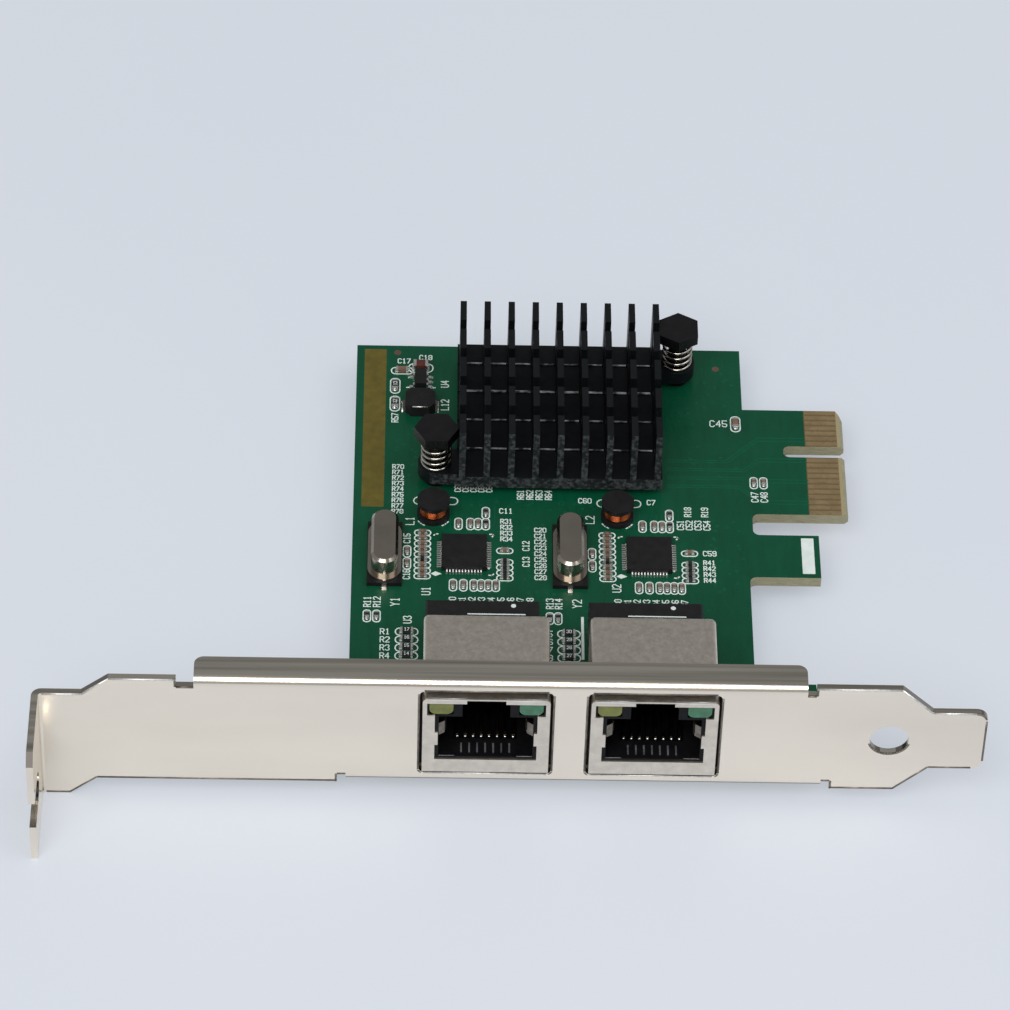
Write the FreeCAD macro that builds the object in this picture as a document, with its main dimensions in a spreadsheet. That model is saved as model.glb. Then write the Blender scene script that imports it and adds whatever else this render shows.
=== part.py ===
import FreeCAD, Part
import math
import os
import Sketcher

# Two-port network card, component side up, resting as it lies on a table.
# X runs along the bracket from its screw tab to its tongue, Y from the bracket
# back over the board, Z up out of the component side. Millimetres.

Vector = FreeCAD.Vector
UP = Vector(0, 0, 1)
QUARTER_TURN = FreeCAD.Rotation(UP, 90)
TINY = 1e-4

# Counts that the parts are made to
WIRES = 8
NEAR_CONTACTS = 11
FAR_CONTACTS = 7
TRANSFORMER_LEADS = 12
PHY_PADS = 12
BRIDGE_PADS = 14
FINS = 9
FIN_ROWS = 5
SPRING_FACETS = 4
DRILL_FLATS = 8
COLUMN_CHIPS = 9
COLUMN_RESISTOR = 3
STACK_CHIPS = 4
SIDE_CHIPS = 4

SIZES = {
    # Bracket, folded from one strip of plated steel
    "sheet_thick": 0.86,
    "bend_inside": 0.4,
    "plate_lift": 2.88,
    "plate_above_window": 1.55,
    "neck_low": 4.3,
    "neck_high": 6.2,
    "neck_slope": 3.45,
    "tab_reach": 11.3,
    "tab_corner": 1.4,
    "slot_wide": 4.42,
    "slot_height": 8.1,
    "slot_reach": 4.4,
    "board_start": 39.4,
    "bracket_past_board": 20.22,
    "tongue_length": 6.9,
    "tongue_width": 10.19,
    "tongue_corner": 1.5,
    "shoulder_run": 4.15,
    "flange_start": 20.3,
    "flange_inset": 22.92,
    "flange_reach": 4.05,
    "flange_corner": 1.2,
    "relief_past_bend": 0.04,
    "relief_left": 2.2,
    "relief_right": 1.1,
    "lip_past_board": 0.1,
    "lip_reach": 2.6,
    "screw_ear_wide": 7.6,
    "screw_ear_past": 4.0,
    "hole_radius": 2.5,
    "hole_from_end": 12.15,
    "window_side_gap": 0.35,
    "window_low_gap": 0.79,
    "window_high_gap": 0.71,
    "window_corner": 0.55,
    # Bracket screws
    "screw_radius": 1.5,
    "screw_head_radius": 2.75,
    "screw_head_high": 1.9,
    "screw_inset": 3.8,
    "screw_y": 6.2,
    "screw_tail": 0.2,
    "screw_clearance": 0.05,
    "screw_slot_wide": 0.9,
    "screw_slot_deep": 1.1,
    # Board, its ears and its edge connector, each measured from its neighbour
    "board_thick": 1.6,
    "board_gap": 0.05,
    "board_past_pin": 8.9,
    "board_past_sink": 2.8,
    "ear_past_jack": 13.72,
    "corner_ear_far": 15.7,
    "ear_to_guard": 19.2,
    "guard_wide": 7.85,
    "guard_out": 9.4,
    "notch_wide": 3.9,
    "notch_out": 0.7,
    "key_wide": 2.1,
    "key_deep": 8.25,
    "edge_out": 13.55,
    "edge_bevel": 0.45,
    "edge_cut_along": 1.6,
    "edge_cut_across": 0.9,
    "board_corner": 0.9,
    # Gold contacts on the board's edge
    "contact_pitch": 1.0,
    "contact_wide": 0.7,
    "contact_long": 4.25,
    "contact_thick": 0.05,
    "contact_from_key": 0.2,
    "contact_margin": 0.05,
    # Jacks
    "jack_from_edge": 9.55,
    "jack_between": 5.13,
    "jack_wide": 16.0,
    "jack_high": 13.4,
    "jack_deep": 15.0,
    "jack_proud": 0.6,
    "jack_lift": 0.3,
    "shield_thick": 0.25,
    "shield_bend": 0.7,
    "front_rim": 0.55,
    "lamp_row_drop": 3.0,
    "lamp_row_under_top": 0.85,
    "latch_half": 2.45,
    "mouth_side": 1.55,
    "mouth_low": 2.3,
    "grip_deep": 0.4,
    "grip_low": 4.95,
    "grip_high": 7.25,
    "shield_leg_long": 1.3,
    "shield_leg_y": 5.6,
    "tail_depth": 1.2,
    "housing_gap": 0.05,
    "cavity_inset": 0.5,
    "cavity_floor": 2.95,
    "cavity_deep": 11.9,
    "latch_way_half": 3.0,
    "housing_wall": 0.4,
    "wire_way_floor": 1.6,
    "wire_way_room": 0.4,
    "peg_radius": 1.6,
    "peg_inset": 2.28,
    "peg_back": 7.8,
    "peg_clearance": 0.08,
    "wire_pitch": 1.016,
    "wire_wide": 0.36,
    "wire_thick": 0.26,
    "wire_bend_y": 3.2,
    "wire_bend_height": 2.6,
    "wire_end_y": 10.6,
    "wire_end_height": 6.4,
    "tail_near_y": 8.9,
    "tail_far_y": 10.7,
    "drill_radius": 0.45,
    "lamp_wide": 3.0,
    "lamp_high": 2.0,
    "lamp_deep": 6.0,
    "lamp_from_side": 0.85,
    "lamp_round": 0.85,
    "lamp_leg_room": 1.0,
    "lamp_leg_side": 0.4,
    "lamp_leg_pitch": 2.3,
    "lamp_seat": 0.05,
    # Transformers behind the jacks
    "transformer_gap": 3.2,
    "transformer_shift": -0.4,
    "transformer_end": 0.55,
    "transformer_deep": 7.0,
    "transformer_high": 5.6,
    "transformer_lift": 0.2,
    "transformer_bevel": 0.25,
    "transformer_taper": 0.15,
    "lead_pitch": 1.2,
    "lead_wide": 0.45,
    "lead_thick": 0.22,
    "lead_shoulder": 0.45,
    "lead_foot": 0.85,
    "lead_height": 1.7,
    # Port controllers, one channel beside the other
    "channel_pitch": 24.45,
    "phy_from_edge": 14.8,
    "phy_past_transformer": 13.6,
    "phy_side": 6.0,
    "phy_high": 0.85,
    "phy_pad_pitch": 0.41,
    "chip_pad_wide": 0.22,
    "chip_pad_long": 1.0,
    "chip_pad_out": 0.6,
    "chip_pad_thick": 0.06,
    "mark_radius": 0.3,
    "mark_deep": 0.06,
    "mark_inset": 0.9,
    # Crystals
    "crystal_gap": 0.65,
    "crystal_back": 0.35,
    "base_long": 11.3,
    "base_wide": 4.6,
    "base_high": 0.65,
    "brim_long": 10.9,
    "brim_wide": 4.45,
    "brim_high": 0.4,
    "can_long": 9.9,
    "can_wide": 3.55,
    "can_high": 2.95,
    "can_round": 0.35,
    "crystal_lead_wide": 0.6,
    "crystal_lead_out": 0.95,
    "crystal_lead_under": 3.0,
    "crystal_lead_thick": 0.25,
    # Drum inductors
    "drum_left_of_phy": 4.1,
    "drum_past_column": 1.23,
    "drum_radius": 2.18,
    "drum_high": 3.0,
    "drum_rim": 0.65,
    "drum_post": 1.1,
    "winding_radius": 1.85,
    # Power inductor, regulator and input capacitor, back from the far edge
    "choke_from_edge": 8.75,
    "choke_long": 4.05,
    "choke_deep": 3.8,
    "choke_high": 1.8,
    "choke_corner": 0.8,
    "choke_pad_wide": 1.1,
    "choke_pad_out": 0.3,
    "choke_pad_thick": 0.2,
    "choke_to_regulator": 1.5,
    "regulator_wide": 1.6,
    "regulator_long": 2.9,
    "regulator_high": 1.1,
    "regulator_lift": 0.1,
    "regulator_lead_pitch": 0.95,
    "regulator_lead_wide": 0.4,
    "regulator_lead_thick": 0.15,
    "regulator_lead_height": 0.5,
    "regulator_lead_shoulder": 0.25,
    "regulator_lead_foot": 0.4,
    "regulator_to_cap": 0.73,
    "input_cap_inset": 4.4,
    "input_cap_long": 2.0,
    "input_cap_wide": 1.25,
    "input_cap_high": 1.0,
    "input_cap_end": 0.4,
    # Bridge chip, its pad and the heatsink
    "sink_past_choke": 2.68,
    "sink_past_drum": 1.92,
    "bridge_side": 12.0,
    "bridge_pad_pitch": 0.8,
    "bridge_high": 1.0,
    "pad_side": 11.0,
    "pad_high": 0.2,
    "sink_long": 27.4,
    "sink_deep": 25.8,
    "sink_base": 1.9,
    "fin_high": 8.05,
    "fin_thick": 0.85,
    "fin_inset": 0.25,
    "row_long": 3.75,
    "saw_deep": 0.25,
    "sink_ear_radius": 2.4,
    # Spring pins that hold the heatsink down
    "near_pin_past": 2.8,
    "far_pin_past": 2.45,
    "pin_from_side": 2.85,
    "pin_radius": 1.2,
    "pin_head_flats": 5.2,
    "pin_head_high": 1.6,
    "pin_head_top": 9.45,
    "pin_hole_gap": 0.25,
    "barb_radius": 1.8,
    "barb_long": 2.1,
    "barb_tip": 0.7,
    "barb_split": 0.5,
    "spring_radius": 1.86,
    "spring_wire": 0.42,
    "spring_turns": 4.75,
    # Chip capacitors and resistors, each group measured from what it serves
    "chip_long": 1.0,
    "chip_wide": 0.5,
    "chip_high": 0.45,
    "chip_end": 0.25,
    "chip_end_proud": 0.02,
    "front_row_before": 5.6,
    "front_row_left": 1.43,
    "front_row_pitch": 1.36,
    "front_tail_pitch": 0.96,
    "back_row_past": 5.75,
    "back_row_gap": 1.16,
    "back_row_first_step": 1.58,
    "back_row_step": 1.02,
    "back_row_behind": 2.1,
    "column_left": 5.5,
    "column_before": 4.05,
    "column_pitch": 1.005,
    "stack_right": 5.38,
    "stack_before": 4.2,
    "stack_pitch": 0.98,
    "stack_single_past": 2.1,
    "pair_left": 2.03,
    "pair_before": 1.75,
    "pair_pitch": 2.24,
    "ahead_of_transformer": 2.17,
    "outer_pair_x": 2.16,
    "outer_pair_pitch": 1.25,
    "inner_pair_past": 1.53,
    "inner_pair_pitch": 1.07,
    "mid_chip_long": 1.6,
    "mid_chip_wide": 0.8,
    "mid_chip_high": 0.5,
    "side_column_left": 10.17,
    "side_column_y": 19.7,
    "side_column_pitch": 1.44,
    "corner_column_left": 1.43,
    "corner_column_past": 0.55,
    "corner_column_pitch": 3.5,
    "corner_single_gap": 1.55,
    "corner_single_before": 0.6,
    "coupling_out": 1.1,
    "coupling_before_key": 5.1,
    "coupling_pitch": 1.3,
    "edge_cap_inset": 1.0,
    "edge_cap_before": 2.85,
}


class Size:
    """A length on the card: its value and the formula that the document keeps."""

    def __init__(self, value, text):
        self.value = value
        self.text = text

    @staticmethod
    def of(other):
        if isinstance(other, Size):
            return other
        return Size(float(other), f"({float(other)!r})")

    def mixed(self, value, text):
        return Size(value, f"({text})")

    def __add__(self, other):
        other = Size.of(other)
        return self.mixed(self.value + other.value, f"{self.text} + {other.text}")

    def __sub__(self, other):
        other = Size.of(other)
        return self.mixed(self.value - other.value, f"{self.text} - {other.text}")

    def __mul__(self, other):
        other = Size.of(other)
        return self.mixed(self.value * other.value, f"{self.text} * {other.text}")

    def __truediv__(self, other):
        other = Size.of(other)
        return self.mixed(self.value / other.value, f"{self.text} / {other.text}")

    def __radd__(self, other):
        return Size.of(other) + self

    def __rsub__(self, other):
        return Size.of(other) - self

    def __rmul__(self, other):
        return Size.of(other) * self

    def __neg__(self):
        return Size.of(0) - self


class Sheet:
    """The card's sizes, each read by its own name."""

    def __init__(self, document, sizes):
        cells = document.addObject("Spreadsheet::Sheet", "sizes")
        for row, (alias, number) in enumerate(sizes.items(), start=1):
            cells.set(f"A{row}", alias)
            cells.set(f"B{row}", str(number))
            cells.setAlias(f"B{row}", alias)
            setattr(self, alias, Size(float(number), f"sizes.{alias}"))


class Formulas:
    """Sizes that follow from others, kept as formulas on a sheet of their own."""

    def __init__(self, document):
        self.cells = document.addObject("Spreadsheet::Sheet", "places")
        self.count = 0

    def __call__(self, alias, size):
        self.count += 1
        formula = size.text.replace("places.", "")
        self.cells.set(f"A{self.count}", alias)
        self.cells.set(f"B{self.count}", f"={formula}")
        self.cells.setAlias(f"B{self.count}", alias)
        return Size(size.value, f"places.{alias}")


doc = FreeCAD.newDocument("network_card")
S = Sheet(doc, SIZES)
doc.recompute()
named = Formulas(doc)

# Jacks: heights, depths and half widths
BOARD_BOTTOM = named("board_bottom", S.plate_lift + S.sheet_thick)
BOARD_TOP = named("board_top", BOARD_BOTTOM + S.board_thick)
BOARD_NEAR = named("board_near", S.sheet_thick + S.bend_inside + S.board_gap)
TAIL_END = named("tail_end", BOARD_BOTTOM - S.tail_depth)
JACK_HALF = named("jack_half", S.jack_wide / 2)
JACK_FRONT = named("jack_front", -S.jack_proud)
JACK_BACK = named("jack_back", JACK_FRONT + S.jack_deep)
JACK_BOTTOM = named("jack_bottom", BOARD_TOP + S.jack_lift)
JACK_TOP = named("jack_top", JACK_BOTTOM + S.jack_high)
MOUTH_HALF = named("mouth_half", JACK_HALF - S.mouth_side)
HOUSING_FRONT = named("housing_front", JACK_FRONT + S.shield_thick)
HOUSING_BACK = named("housing_back", JACK_BACK - S.shield_thick - S.lamp_leg_room)
HOUSING_TOP = named("housing_top", JACK_TOP - S.shield_thick)
PEG_X = named("peg_x", JACK_HALF - S.peg_inset)
PEG_Y = named("peg_y", JACK_FRONT + S.peg_back)
SHIELD_LEG_X = named("shield_leg_x", JACK_HALF - S.shield_thick / 2)
SHIELD_LEG_HOLE = named("shield_leg_hole", S.shield_leg_long / 2 + S.peg_clearance)
LAMP_X = named("lamp_x", JACK_HALF - S.lamp_from_side - S.lamp_wide / 2)
LAMP_BOTTOM = named("lamp_bottom", JACK_TOP - S.lamp_row_drop + S.lamp_seat)
LAMP_LEG_Y = named("lamp_leg_y", HOUSING_BACK + S.lamp_leg_room / 2)

# Along the board, from its left edge
BOARD_X = S.board_start
PORT_PITCH = named("port_pitch", S.jack_wide + S.jack_between)
PORT_1 = named("port_1", BOARD_X + S.jack_from_edge + JACK_HALF)
PORT_2 = named("port_2", PORT_1 + PORT_PITCH)
PORTS = [PORT_1, PORT_2]
EAR_RIGHT = named("ear_right", PORTS[1] + JACK_HALF + S.ear_past_jack)
BRACKET_END = named("bracket_end", EAR_RIGHT + S.bracket_past_board)
LIP_START = named("lip_start", BOARD_X - S.lip_past_board)
LIP_END = named("lip_end", EAR_RIGHT - S.lip_past_board)
SCREWS_X = (LIP_START + S.screw_inset, LIP_END - S.screw_inset)
CHANNELS = [Size.of(0), S.channel_pitch]
PHY_X = named("phy_x", BOARD_X + S.phy_from_edge)
CHIP_COLUMN_X = named("chip_column_x", PHY_X - S.column_left)
CHIP_PAIR_X = named("chip_pair_x", CHIP_COLUMN_X - S.pair_left)
CRYSTAL_X = named("crystal_x", CHIP_PAIR_X - S.crystal_gap - S.base_wide / 2)
DRUM_X = named("drum_x", PHY_X - S.drum_left_of_phy)
CHOKE_X = named("choke_x", BOARD_X + S.choke_from_edge)
SINK_X = named("sink_x", CHOKE_X + S.choke_long / 2 + S.choke_pad_out + S.sink_past_choke + S.sink_long / 2)
NEAR_PIN_OUT = named("near_pin_out", S.sink_long / 2 + S.near_pin_past)
FAR_PIN_OUT = named("far_pin_out", S.sink_long / 2 + S.far_pin_past)
PIN_BACK = named("pin_back", S.sink_deep / 2 - S.pin_from_side)
PINS = {"near": (-NEAR_PIN_OUT, -PIN_BACK), "far": (FAR_PIN_OUT, PIN_BACK)}
BOARD_RIGHT = named("board_right", SINK_X + FAR_PIN_OUT + S.board_past_pin)
EDGE_RIGHT = named("edge_right", BOARD_RIGHT + S.edge_out)
KEY_LEFT = named("key_left", EDGE_RIGHT - S.key_deep)
NOTCH_LEFT = named("notch_left", BOARD_RIGHT + S.notch_out)

# Over the board, from the bracket back
GUARD_NEAR = named("guard_near", S.corner_ear_far + S.ear_to_guard)
GUARD_FAR = named("guard_far", GUARD_NEAR + S.guard_wide)
EDGE_NEAR = named("edge_near", GUARD_FAR + S.notch_wide)
CONTACT_ENDS = named("contact_ends", S.contact_margin + S.contact_wide + S.contact_from_key)
KEY_NEAR = named("key_near", EDGE_NEAR + CONTACT_ENDS + (NEAR_CONTACTS - 1) * S.contact_pitch)
KEY_FAR = named("key_far", KEY_NEAR + S.key_wide)
EDGE_FAR = named("edge_far", KEY_FAR + CONTACT_ENDS + (FAR_CONTACTS - 1) * S.contact_pitch)
TRANSFORMER_Y = named("transformer_y", JACK_BACK + S.transformer_gap + S.transformer_deep / 2)
TRANSFORMER_FAR = named("transformer_far", TRANSFORMER_Y + S.transformer_deep / 2)
PHY_Y = named("phy_y", TRANSFORMER_FAR + S.phy_past_transformer)
CHIP_COLUMN_Y = named("chip_column_y", PHY_Y - S.column_before)
CHIP_COLUMN_END = named("chip_column_end", CHIP_COLUMN_Y + (COLUMN_CHIPS - 1) * S.column_pitch)
DRUM_Y = named("drum_y", CHIP_COLUMN_END + S.drum_past_column + S.drum_radius)
SINK_Y = named("sink_y", DRUM_Y + S.drum_radius + S.sink_past_drum + S.sink_deep / 2)
BOARD_FAR = named("board_far", SINK_Y + S.sink_deep / 2 + S.board_past_sink)
INPUT_CAP_Y = named("input_cap_y", BOARD_FAR - S.input_cap_inset)
REGULATOR_Y = named(
    "regulator_y",
    INPUT_CAP_Y - S.input_cap_wide / 2 - S.regulator_to_cap - S.regulator_long / 2,
)
CHOKE_Y = named("choke_y", REGULATOR_Y - S.regulator_long / 2 - S.choke_to_regulator - S.choke_deep / 2)

# Heights and widths that follow from the jacks and the heatsink
WINDOW_LOW = named("window_low", JACK_BOTTOM - S.window_low_gap)
WINDOW_HIGH = named("window_high", JACK_TOP + S.window_high_gap)
PLATE_TOP = named("plate_top", WINDOW_HIGH + S.plate_above_window)
PLATE_WIDE = named("plate_wide", PLATE_TOP - S.plate_lift)
TRANSFORMER_WIDE = named(
    "transformer_wide",
    (TRANSFORMER_LEADS - 1) * S.lead_pitch + S.lead_wide + 2 * S.transformer_end,
)
SINK_BOTTOM = named("sink_bottom", BOARD_TOP + S.bridge_high + S.pad_high)
SINK_TOP = named("sink_top", SINK_BOTTOM + S.sink_base)
FRAME_X = named("frame_x", BRACKET_END / 2)
FRAME_Y = named("frame_y", (BOARD_FAR - S.tab_reach) / 2)
doc.recompute()

SUB_PARTS = []


def bind(item, prop, size):
    item.setExpression(prop, Size.of(size).text)


def place(item, x, y, z, turn=None):
    """Put an item's own origin at a point of the card."""
    if turn is not None:
        item.Placement = FreeCAD.Placement(Vector(), turn)
    bind(item, "Placement.Base.x", x - FRAME_X)
    bind(item, "Placement.Base.y", y - FRAME_Y)
    bind(item, "Placement.Base.z", z)
    return item


def keep(item, label):
    """Name a finished sub-part after the file that it is written to."""
    item.Label = label
    SUB_PARTS.append(item)
    return item


def block(name, low, sides):
    """A block from its low corner and its three sides."""
    item = doc.addObject("Part::Box", name)
    for prop, side in zip(("Length", "Width", "Height"), sides):
        bind(item, prop, side)
    return place(item, *low)


def block_on(name, centre_x, centre_y, bottom, sides):
    """A block given by the centre of its footprint."""
    long, deep, _ = sides
    return block(name, (centre_x - long / 2, centre_y - deep / 2, bottom), sides)


def rod(name, low, radius, length, turn=None):
    item = doc.addObject("Part::Cylinder", name)
    bind(item, "Radius", radius)
    bind(item, "Height", length)
    return place(item, *low, turn)


def joined(name, items):
    item = doc.addObject("Part::MultiFuse", name)
    item.Shapes = items
    item.Refine = True
    return item


def group(name, items):
    item = doc.addObject("Part::Compound", name)
    item.Links = items
    return item


def cut_from(name, base, tools):
    item = doc.addObject("Part::Cut", name)
    item.Base = base
    item.Tool = tools[0] if len(tools) == 1 else group(f"{name}_cutters", tools)
    item.Refine = True
    return item


def body(name, x, y, z, turn=None):
    item = doc.addObject("PartDesign::Body", name)
    return place(item, Size.of(x), Size.of(y), Size.of(z), turn)


def sketch_on(owner, plane, name):
    """An empty sketch on one of a body's own origin planes."""
    origin = next(part for part in owner.Origin.OriginFeatures if part.Role == plane)
    item = owner.newObject("Sketcher::SketchObject", name)
    item.AttachmentSupport = [(origin, "")]
    item.MapMode = "FlatFace"
    return item


def lift_sketch(sketch, height):
    """Move a sketch off its plane, along the plane's normal."""
    bind(sketch, "AttachmentOffset.Base.z", height)


def pin_point(sketch, geometry, end, point):
    """Tie one point of a sketch to its two coordinates."""
    for kind, size in zip(("DistanceX", "DistanceY"), point):
        size = Size.of(size)
        index = sketch.addConstraint(Sketcher.Constraint(kind, -1, 1, geometry, end, size.value))
        sketch.setExpression(f"Constraints[{index}]", size.text)


def draw_outline(sketch, points):
    """A closed outline of straight lines through the given points."""
    points = [(Size.of(x), Size.of(y)) for x, y in points]
    places = [Vector(x.value, y.value, 0) for x, y in points]
    first = sketch.GeometryCount
    count = len(points)
    for index in range(count):
        line = Part.LineSegment(places[index], places[(index + 1) % count])
        sketch.addGeometry(line, False)
    for index in range(count):
        following = first + (index + 1) % count
        sketch.addConstraint(Sketcher.Constraint("Coincident", first + index, 2, following, 1))
    for index in range(count):
        pin_point(sketch, first + index, 1, points[index])


def draw_circle(sketch, centre, radius):
    x, y = (Size.of(size) for size in centre)
    radius = Size.of(radius)
    ring = Part.Circle(Vector(x.value, y.value, 0), UP, radius.value)
    index = sketch.addGeometry(ring, False)
    pin_point(sketch, index, 3, (x, y))
    limit = sketch.addConstraint(Sketcher.Constraint("Radius", index, radius.value))
    sketch.setExpression(f"Constraints[{limit}]", radius.text)


def draw_stadium(sketch, length, width):
    """A slot shape centred on the origin, its long way along the sketch's Y."""
    length, width = Size.of(length), Size.of(width)
    half = width / 2
    reach = (length - width) / 2
    side = Vector(half.value, 0, 0)
    end = Vector(0, reach.value, 0)
    far = Part.ArcOfCircle(Part.Circle(end, UP, half.value), 0, math.pi)
    near = Part.ArcOfCircle(Part.Circle(end * -1, UP, half.value), math.pi, 2 * math.pi)
    left = Part.LineSegment(end - side, end * -1 - side)
    right = Part.LineSegment(side - end, side + end)
    far, left, near, right = (sketch.addGeometry(part, False) for part in (far, left, near, right))
    for one, other in ((far, left), (left, near), (near, right), (right, far)):
        sketch.addConstraint(Sketcher.Constraint("Tangent", one, 2, other, 1))
    pin_point(sketch, far, 3, (Size.of(0), reach))
    pin_point(sketch, near, 3, (Size.of(0), -reach))
    limit = sketch.addConstraint(Sketcher.Constraint("Radius", far, half.value))
    sketch.setExpression(f"Constraints[{limit}]", half.text)


def pad(owner, sketch, length, name, reverse=False, both=False):
    item = owner.newObject("PartDesign::Pad", name)
    item.Profile = sketch
    item.Reversed = reverse
    item.Midplane = both
    bind(item, "Length", length)
    return item


def pocket(owner, sketch, name, reverse=False, depth=None, both=False):
    """Cut a sketch out of a body, right through it where no depth is given."""
    item = owner.newObject("PartDesign::Pocket", name)
    item.Profile = sketch
    item.Reversed = reverse
    item.Midplane = both
    if depth is None:
        item.Type = "ThroughAll"
    else:
        bind(item, "Length", depth)
    return item


def repeat(owner, feature, axis, length, count, name):
    """Copy a feature along one of the body's own axes."""
    item = owner.newObject("PartDesign::LinearPattern", name)
    item.Originals = [feature]
    origin = next(part for part in owner.Origin.OriginFeatures if part.Role == axis)
    item.Direction = (origin, [""])
    item.Mode = "Extent"
    bind(item, "Length", length)
    bind(item, "Occurrences", count)
    owner.Tip = item
    return item


def round_edges(owner, chosen, radius, name, kind="Fillet"):
    """Fillet or chamfer the edges of a body that a test picks out."""
    doc.recompute()
    base = owner.Tip
    edges = enumerate(base.Shape.Edges, start=1)
    names = [f"Edge{number}" for number, edge in edges if chosen(edge)]
    item = owner.newObject(f"PartDesign::{kind}", name)
    item.Base = (base, names)
    bind(item, "Radius" if kind == "Fillet" else "Size", radius)
    return item


def edges_at(*lines):
    """A test for edges that lie on a line or a plane, given by the coordinates that stay put."""
    wanted = [{axis: Size.of(size).value for axis, size in line.items()} for line in lines]

    def test(edge):
        ends = [vertex.Point for vertex in edge.Vertexes]
        return any(
            all(abs(getattr(end, axis) - value) < TINY for end in ends for axis, value in line.items())
            for line in wanted
        )
    return test


def edges_between(*pairs):
    """A test for straight edges given by their two end points."""
    wanted = [[Vector(*(Size.of(size).value for size in point)) for point in pair] for pair in pairs]

    def test(edge):
        ends = [vertex.Point for vertex in edge.Vertexes]
        return len(ends) == 2 and any(
            all(min(end.distanceToPoint(point) for end in ends) < TINY for point in pair)
            for pair in wanted
        )
    return test


def spin(owner, sketch, name):
    """Turn a section once round its body's upright axis."""
    item = owner.newObject("PartDesign::Revolution", name)
    item.Profile = sketch
    item.ReferenceAxis = (sketch, ["V_Axis"])
    item.Angle = 360
    return item


def make_bracket():
    """The folded bracket: plate with two windows, screw tab, top flange and board lip."""
    owner = body("bracket_body", 0, 0, 0)
    mid = S.plate_lift + PLATE_WIDE / 2
    shoulder = BRACKET_END - S.tongue_length
    flange_end = BRACKET_END - S.flange_inset
    tongue_low = mid - S.tongue_width / 2
    tongue_high = mid + S.tongue_width / 2
    outside = S.bend_inside + S.sheet_thick
    relief_top = PLATE_TOP - outside - S.relief_past_bend
    relief_bottom = S.plate_lift + outside + S.relief_past_bend
    plate = sketch_on(owner, "XZ_Plane", "plate_outline")
    draw_outline(plate, [
        (0, 0),
        (S.neck_low, 0),
        (S.neck_low + S.neck_slope, S.plate_lift),
        (LIP_START - S.relief_right, S.plate_lift),
        (LIP_START - S.relief_right, relief_bottom),
        (LIP_START, relief_bottom),
        (LIP_START, S.plate_lift),
        (LIP_END, S.plate_lift),
        (LIP_END, relief_bottom),
        (LIP_END + S.relief_right, relief_bottom),
        (LIP_END + S.relief_right, S.plate_lift),
        (shoulder - S.shoulder_run, S.plate_lift),
        (shoulder, tongue_low),
        (BRACKET_END, tongue_low),
        (BRACKET_END, tongue_high),
        (shoulder, tongue_high),
        (shoulder - S.shoulder_run, PLATE_TOP),
        (flange_end + S.relief_right, PLATE_TOP),
        (flange_end + S.relief_right, relief_top),
        (flange_end, relief_top),
        (flange_end, PLATE_TOP),
        (S.flange_start, PLATE_TOP),
        (S.flange_start, relief_top),
        (S.flange_start - S.relief_left, relief_top),
        (S.flange_start - S.relief_left, PLATE_TOP),
        (S.neck_high + S.neck_slope, PLATE_TOP),
        (S.neck_high, PLATE_WIDE),
        (0, PLATE_WIDE),
    ])
    pad(owner, plate, S.sheet_thick, "plate", reverse=True)

    tab = sketch_on(owner, "YZ_Plane", "tab_outline")
    draw_outline(tab, [
        (S.sheet_thick, 0),
        (S.sheet_thick, PLATE_WIDE),
        (-S.tab_reach + S.tab_corner, PLATE_WIDE),
        (-S.tab_reach, PLATE_WIDE - S.tab_corner),
        (-S.tab_reach, 0),
    ])
    pad(owner, tab, S.sheet_thick, "tab")

    flange = sketch_on(owner, "XY_Plane", "flange_outline")
    draw_outline(flange, [
        (S.flange_start, 0),
        (flange_end, 0),
        (flange_end, S.flange_reach),
        (S.flange_start, S.flange_reach),
    ])
    lift_sketch(flange, PLATE_TOP)
    pad(owner, flange, S.sheet_thick, "flange", reverse=True)

    lip = sketch_on(owner, "XY_Plane", "lip_outline")
    ear_left = LIP_START + S.screw_ear_wide
    screw_ear_far = S.screw_y + S.screw_ear_past
    ear_right = LIP_END - S.screw_ear_wide
    draw_outline(lip, [
        (LIP_START, 0),
        (LIP_END, 0),
        (LIP_END, screw_ear_far),
        (ear_right, screw_ear_far),
        (ear_right, S.lip_reach),
        (ear_left, S.lip_reach),
        (ear_left, screw_ear_far),
        (LIP_START, screw_ear_far),
    ])
    lift_sketch(lip, S.plate_lift)
    pad(owner, lip, S.sheet_thick, "lip")

    openings = sketch_on(owner, "XZ_Plane", "plate_openings")
    half = JACK_HALF + S.window_side_gap
    for port in PORTS:
        draw_outline(openings, [
            (port - half, WINDOW_LOW), (port + half, WINDOW_LOW),
            (port + half, WINDOW_HIGH), (port - half, WINDOW_HIGH),
        ])
    draw_circle(openings, (BRACKET_END - S.hole_from_end, mid), S.hole_radius)
    pocket(owner, openings, "openings", depth=S.sheet_thick)

    slot = sketch_on(owner, "YZ_Plane", "slot_outline")
    slot_end = -S.tab_reach + S.slot_reach
    slot_low = S.slot_height - S.slot_wide / 2
    slot_high = S.slot_height + S.slot_wide / 2
    past_edge = -S.tab_reach - S.sheet_thick
    draw_outline(slot, [
        (past_edge, slot_low), (slot_end, slot_low), (slot_end, slot_high), (past_edge, slot_high),
    ])
    pocket(owner, slot, "slot", reverse=True, depth=S.sheet_thick)
    slot_round = sketch_on(owner, "YZ_Plane", "slot_round_outline")
    draw_circle(slot_round, (slot_end, S.slot_height), S.slot_wide / 2)
    pocket(owner, slot_round, "slot_round", reverse=True, depth=S.sheet_thick)

    threads = sketch_on(owner, "XY_Plane", "screw_holes")
    lift_sketch(threads, S.plate_lift)
    for x in SCREWS_X:
        draw_circle(threads, (x, S.screw_y), S.screw_radius)
    pocket(owner, threads, "screw_threads", reverse=True, depth=S.sheet_thick)

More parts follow.
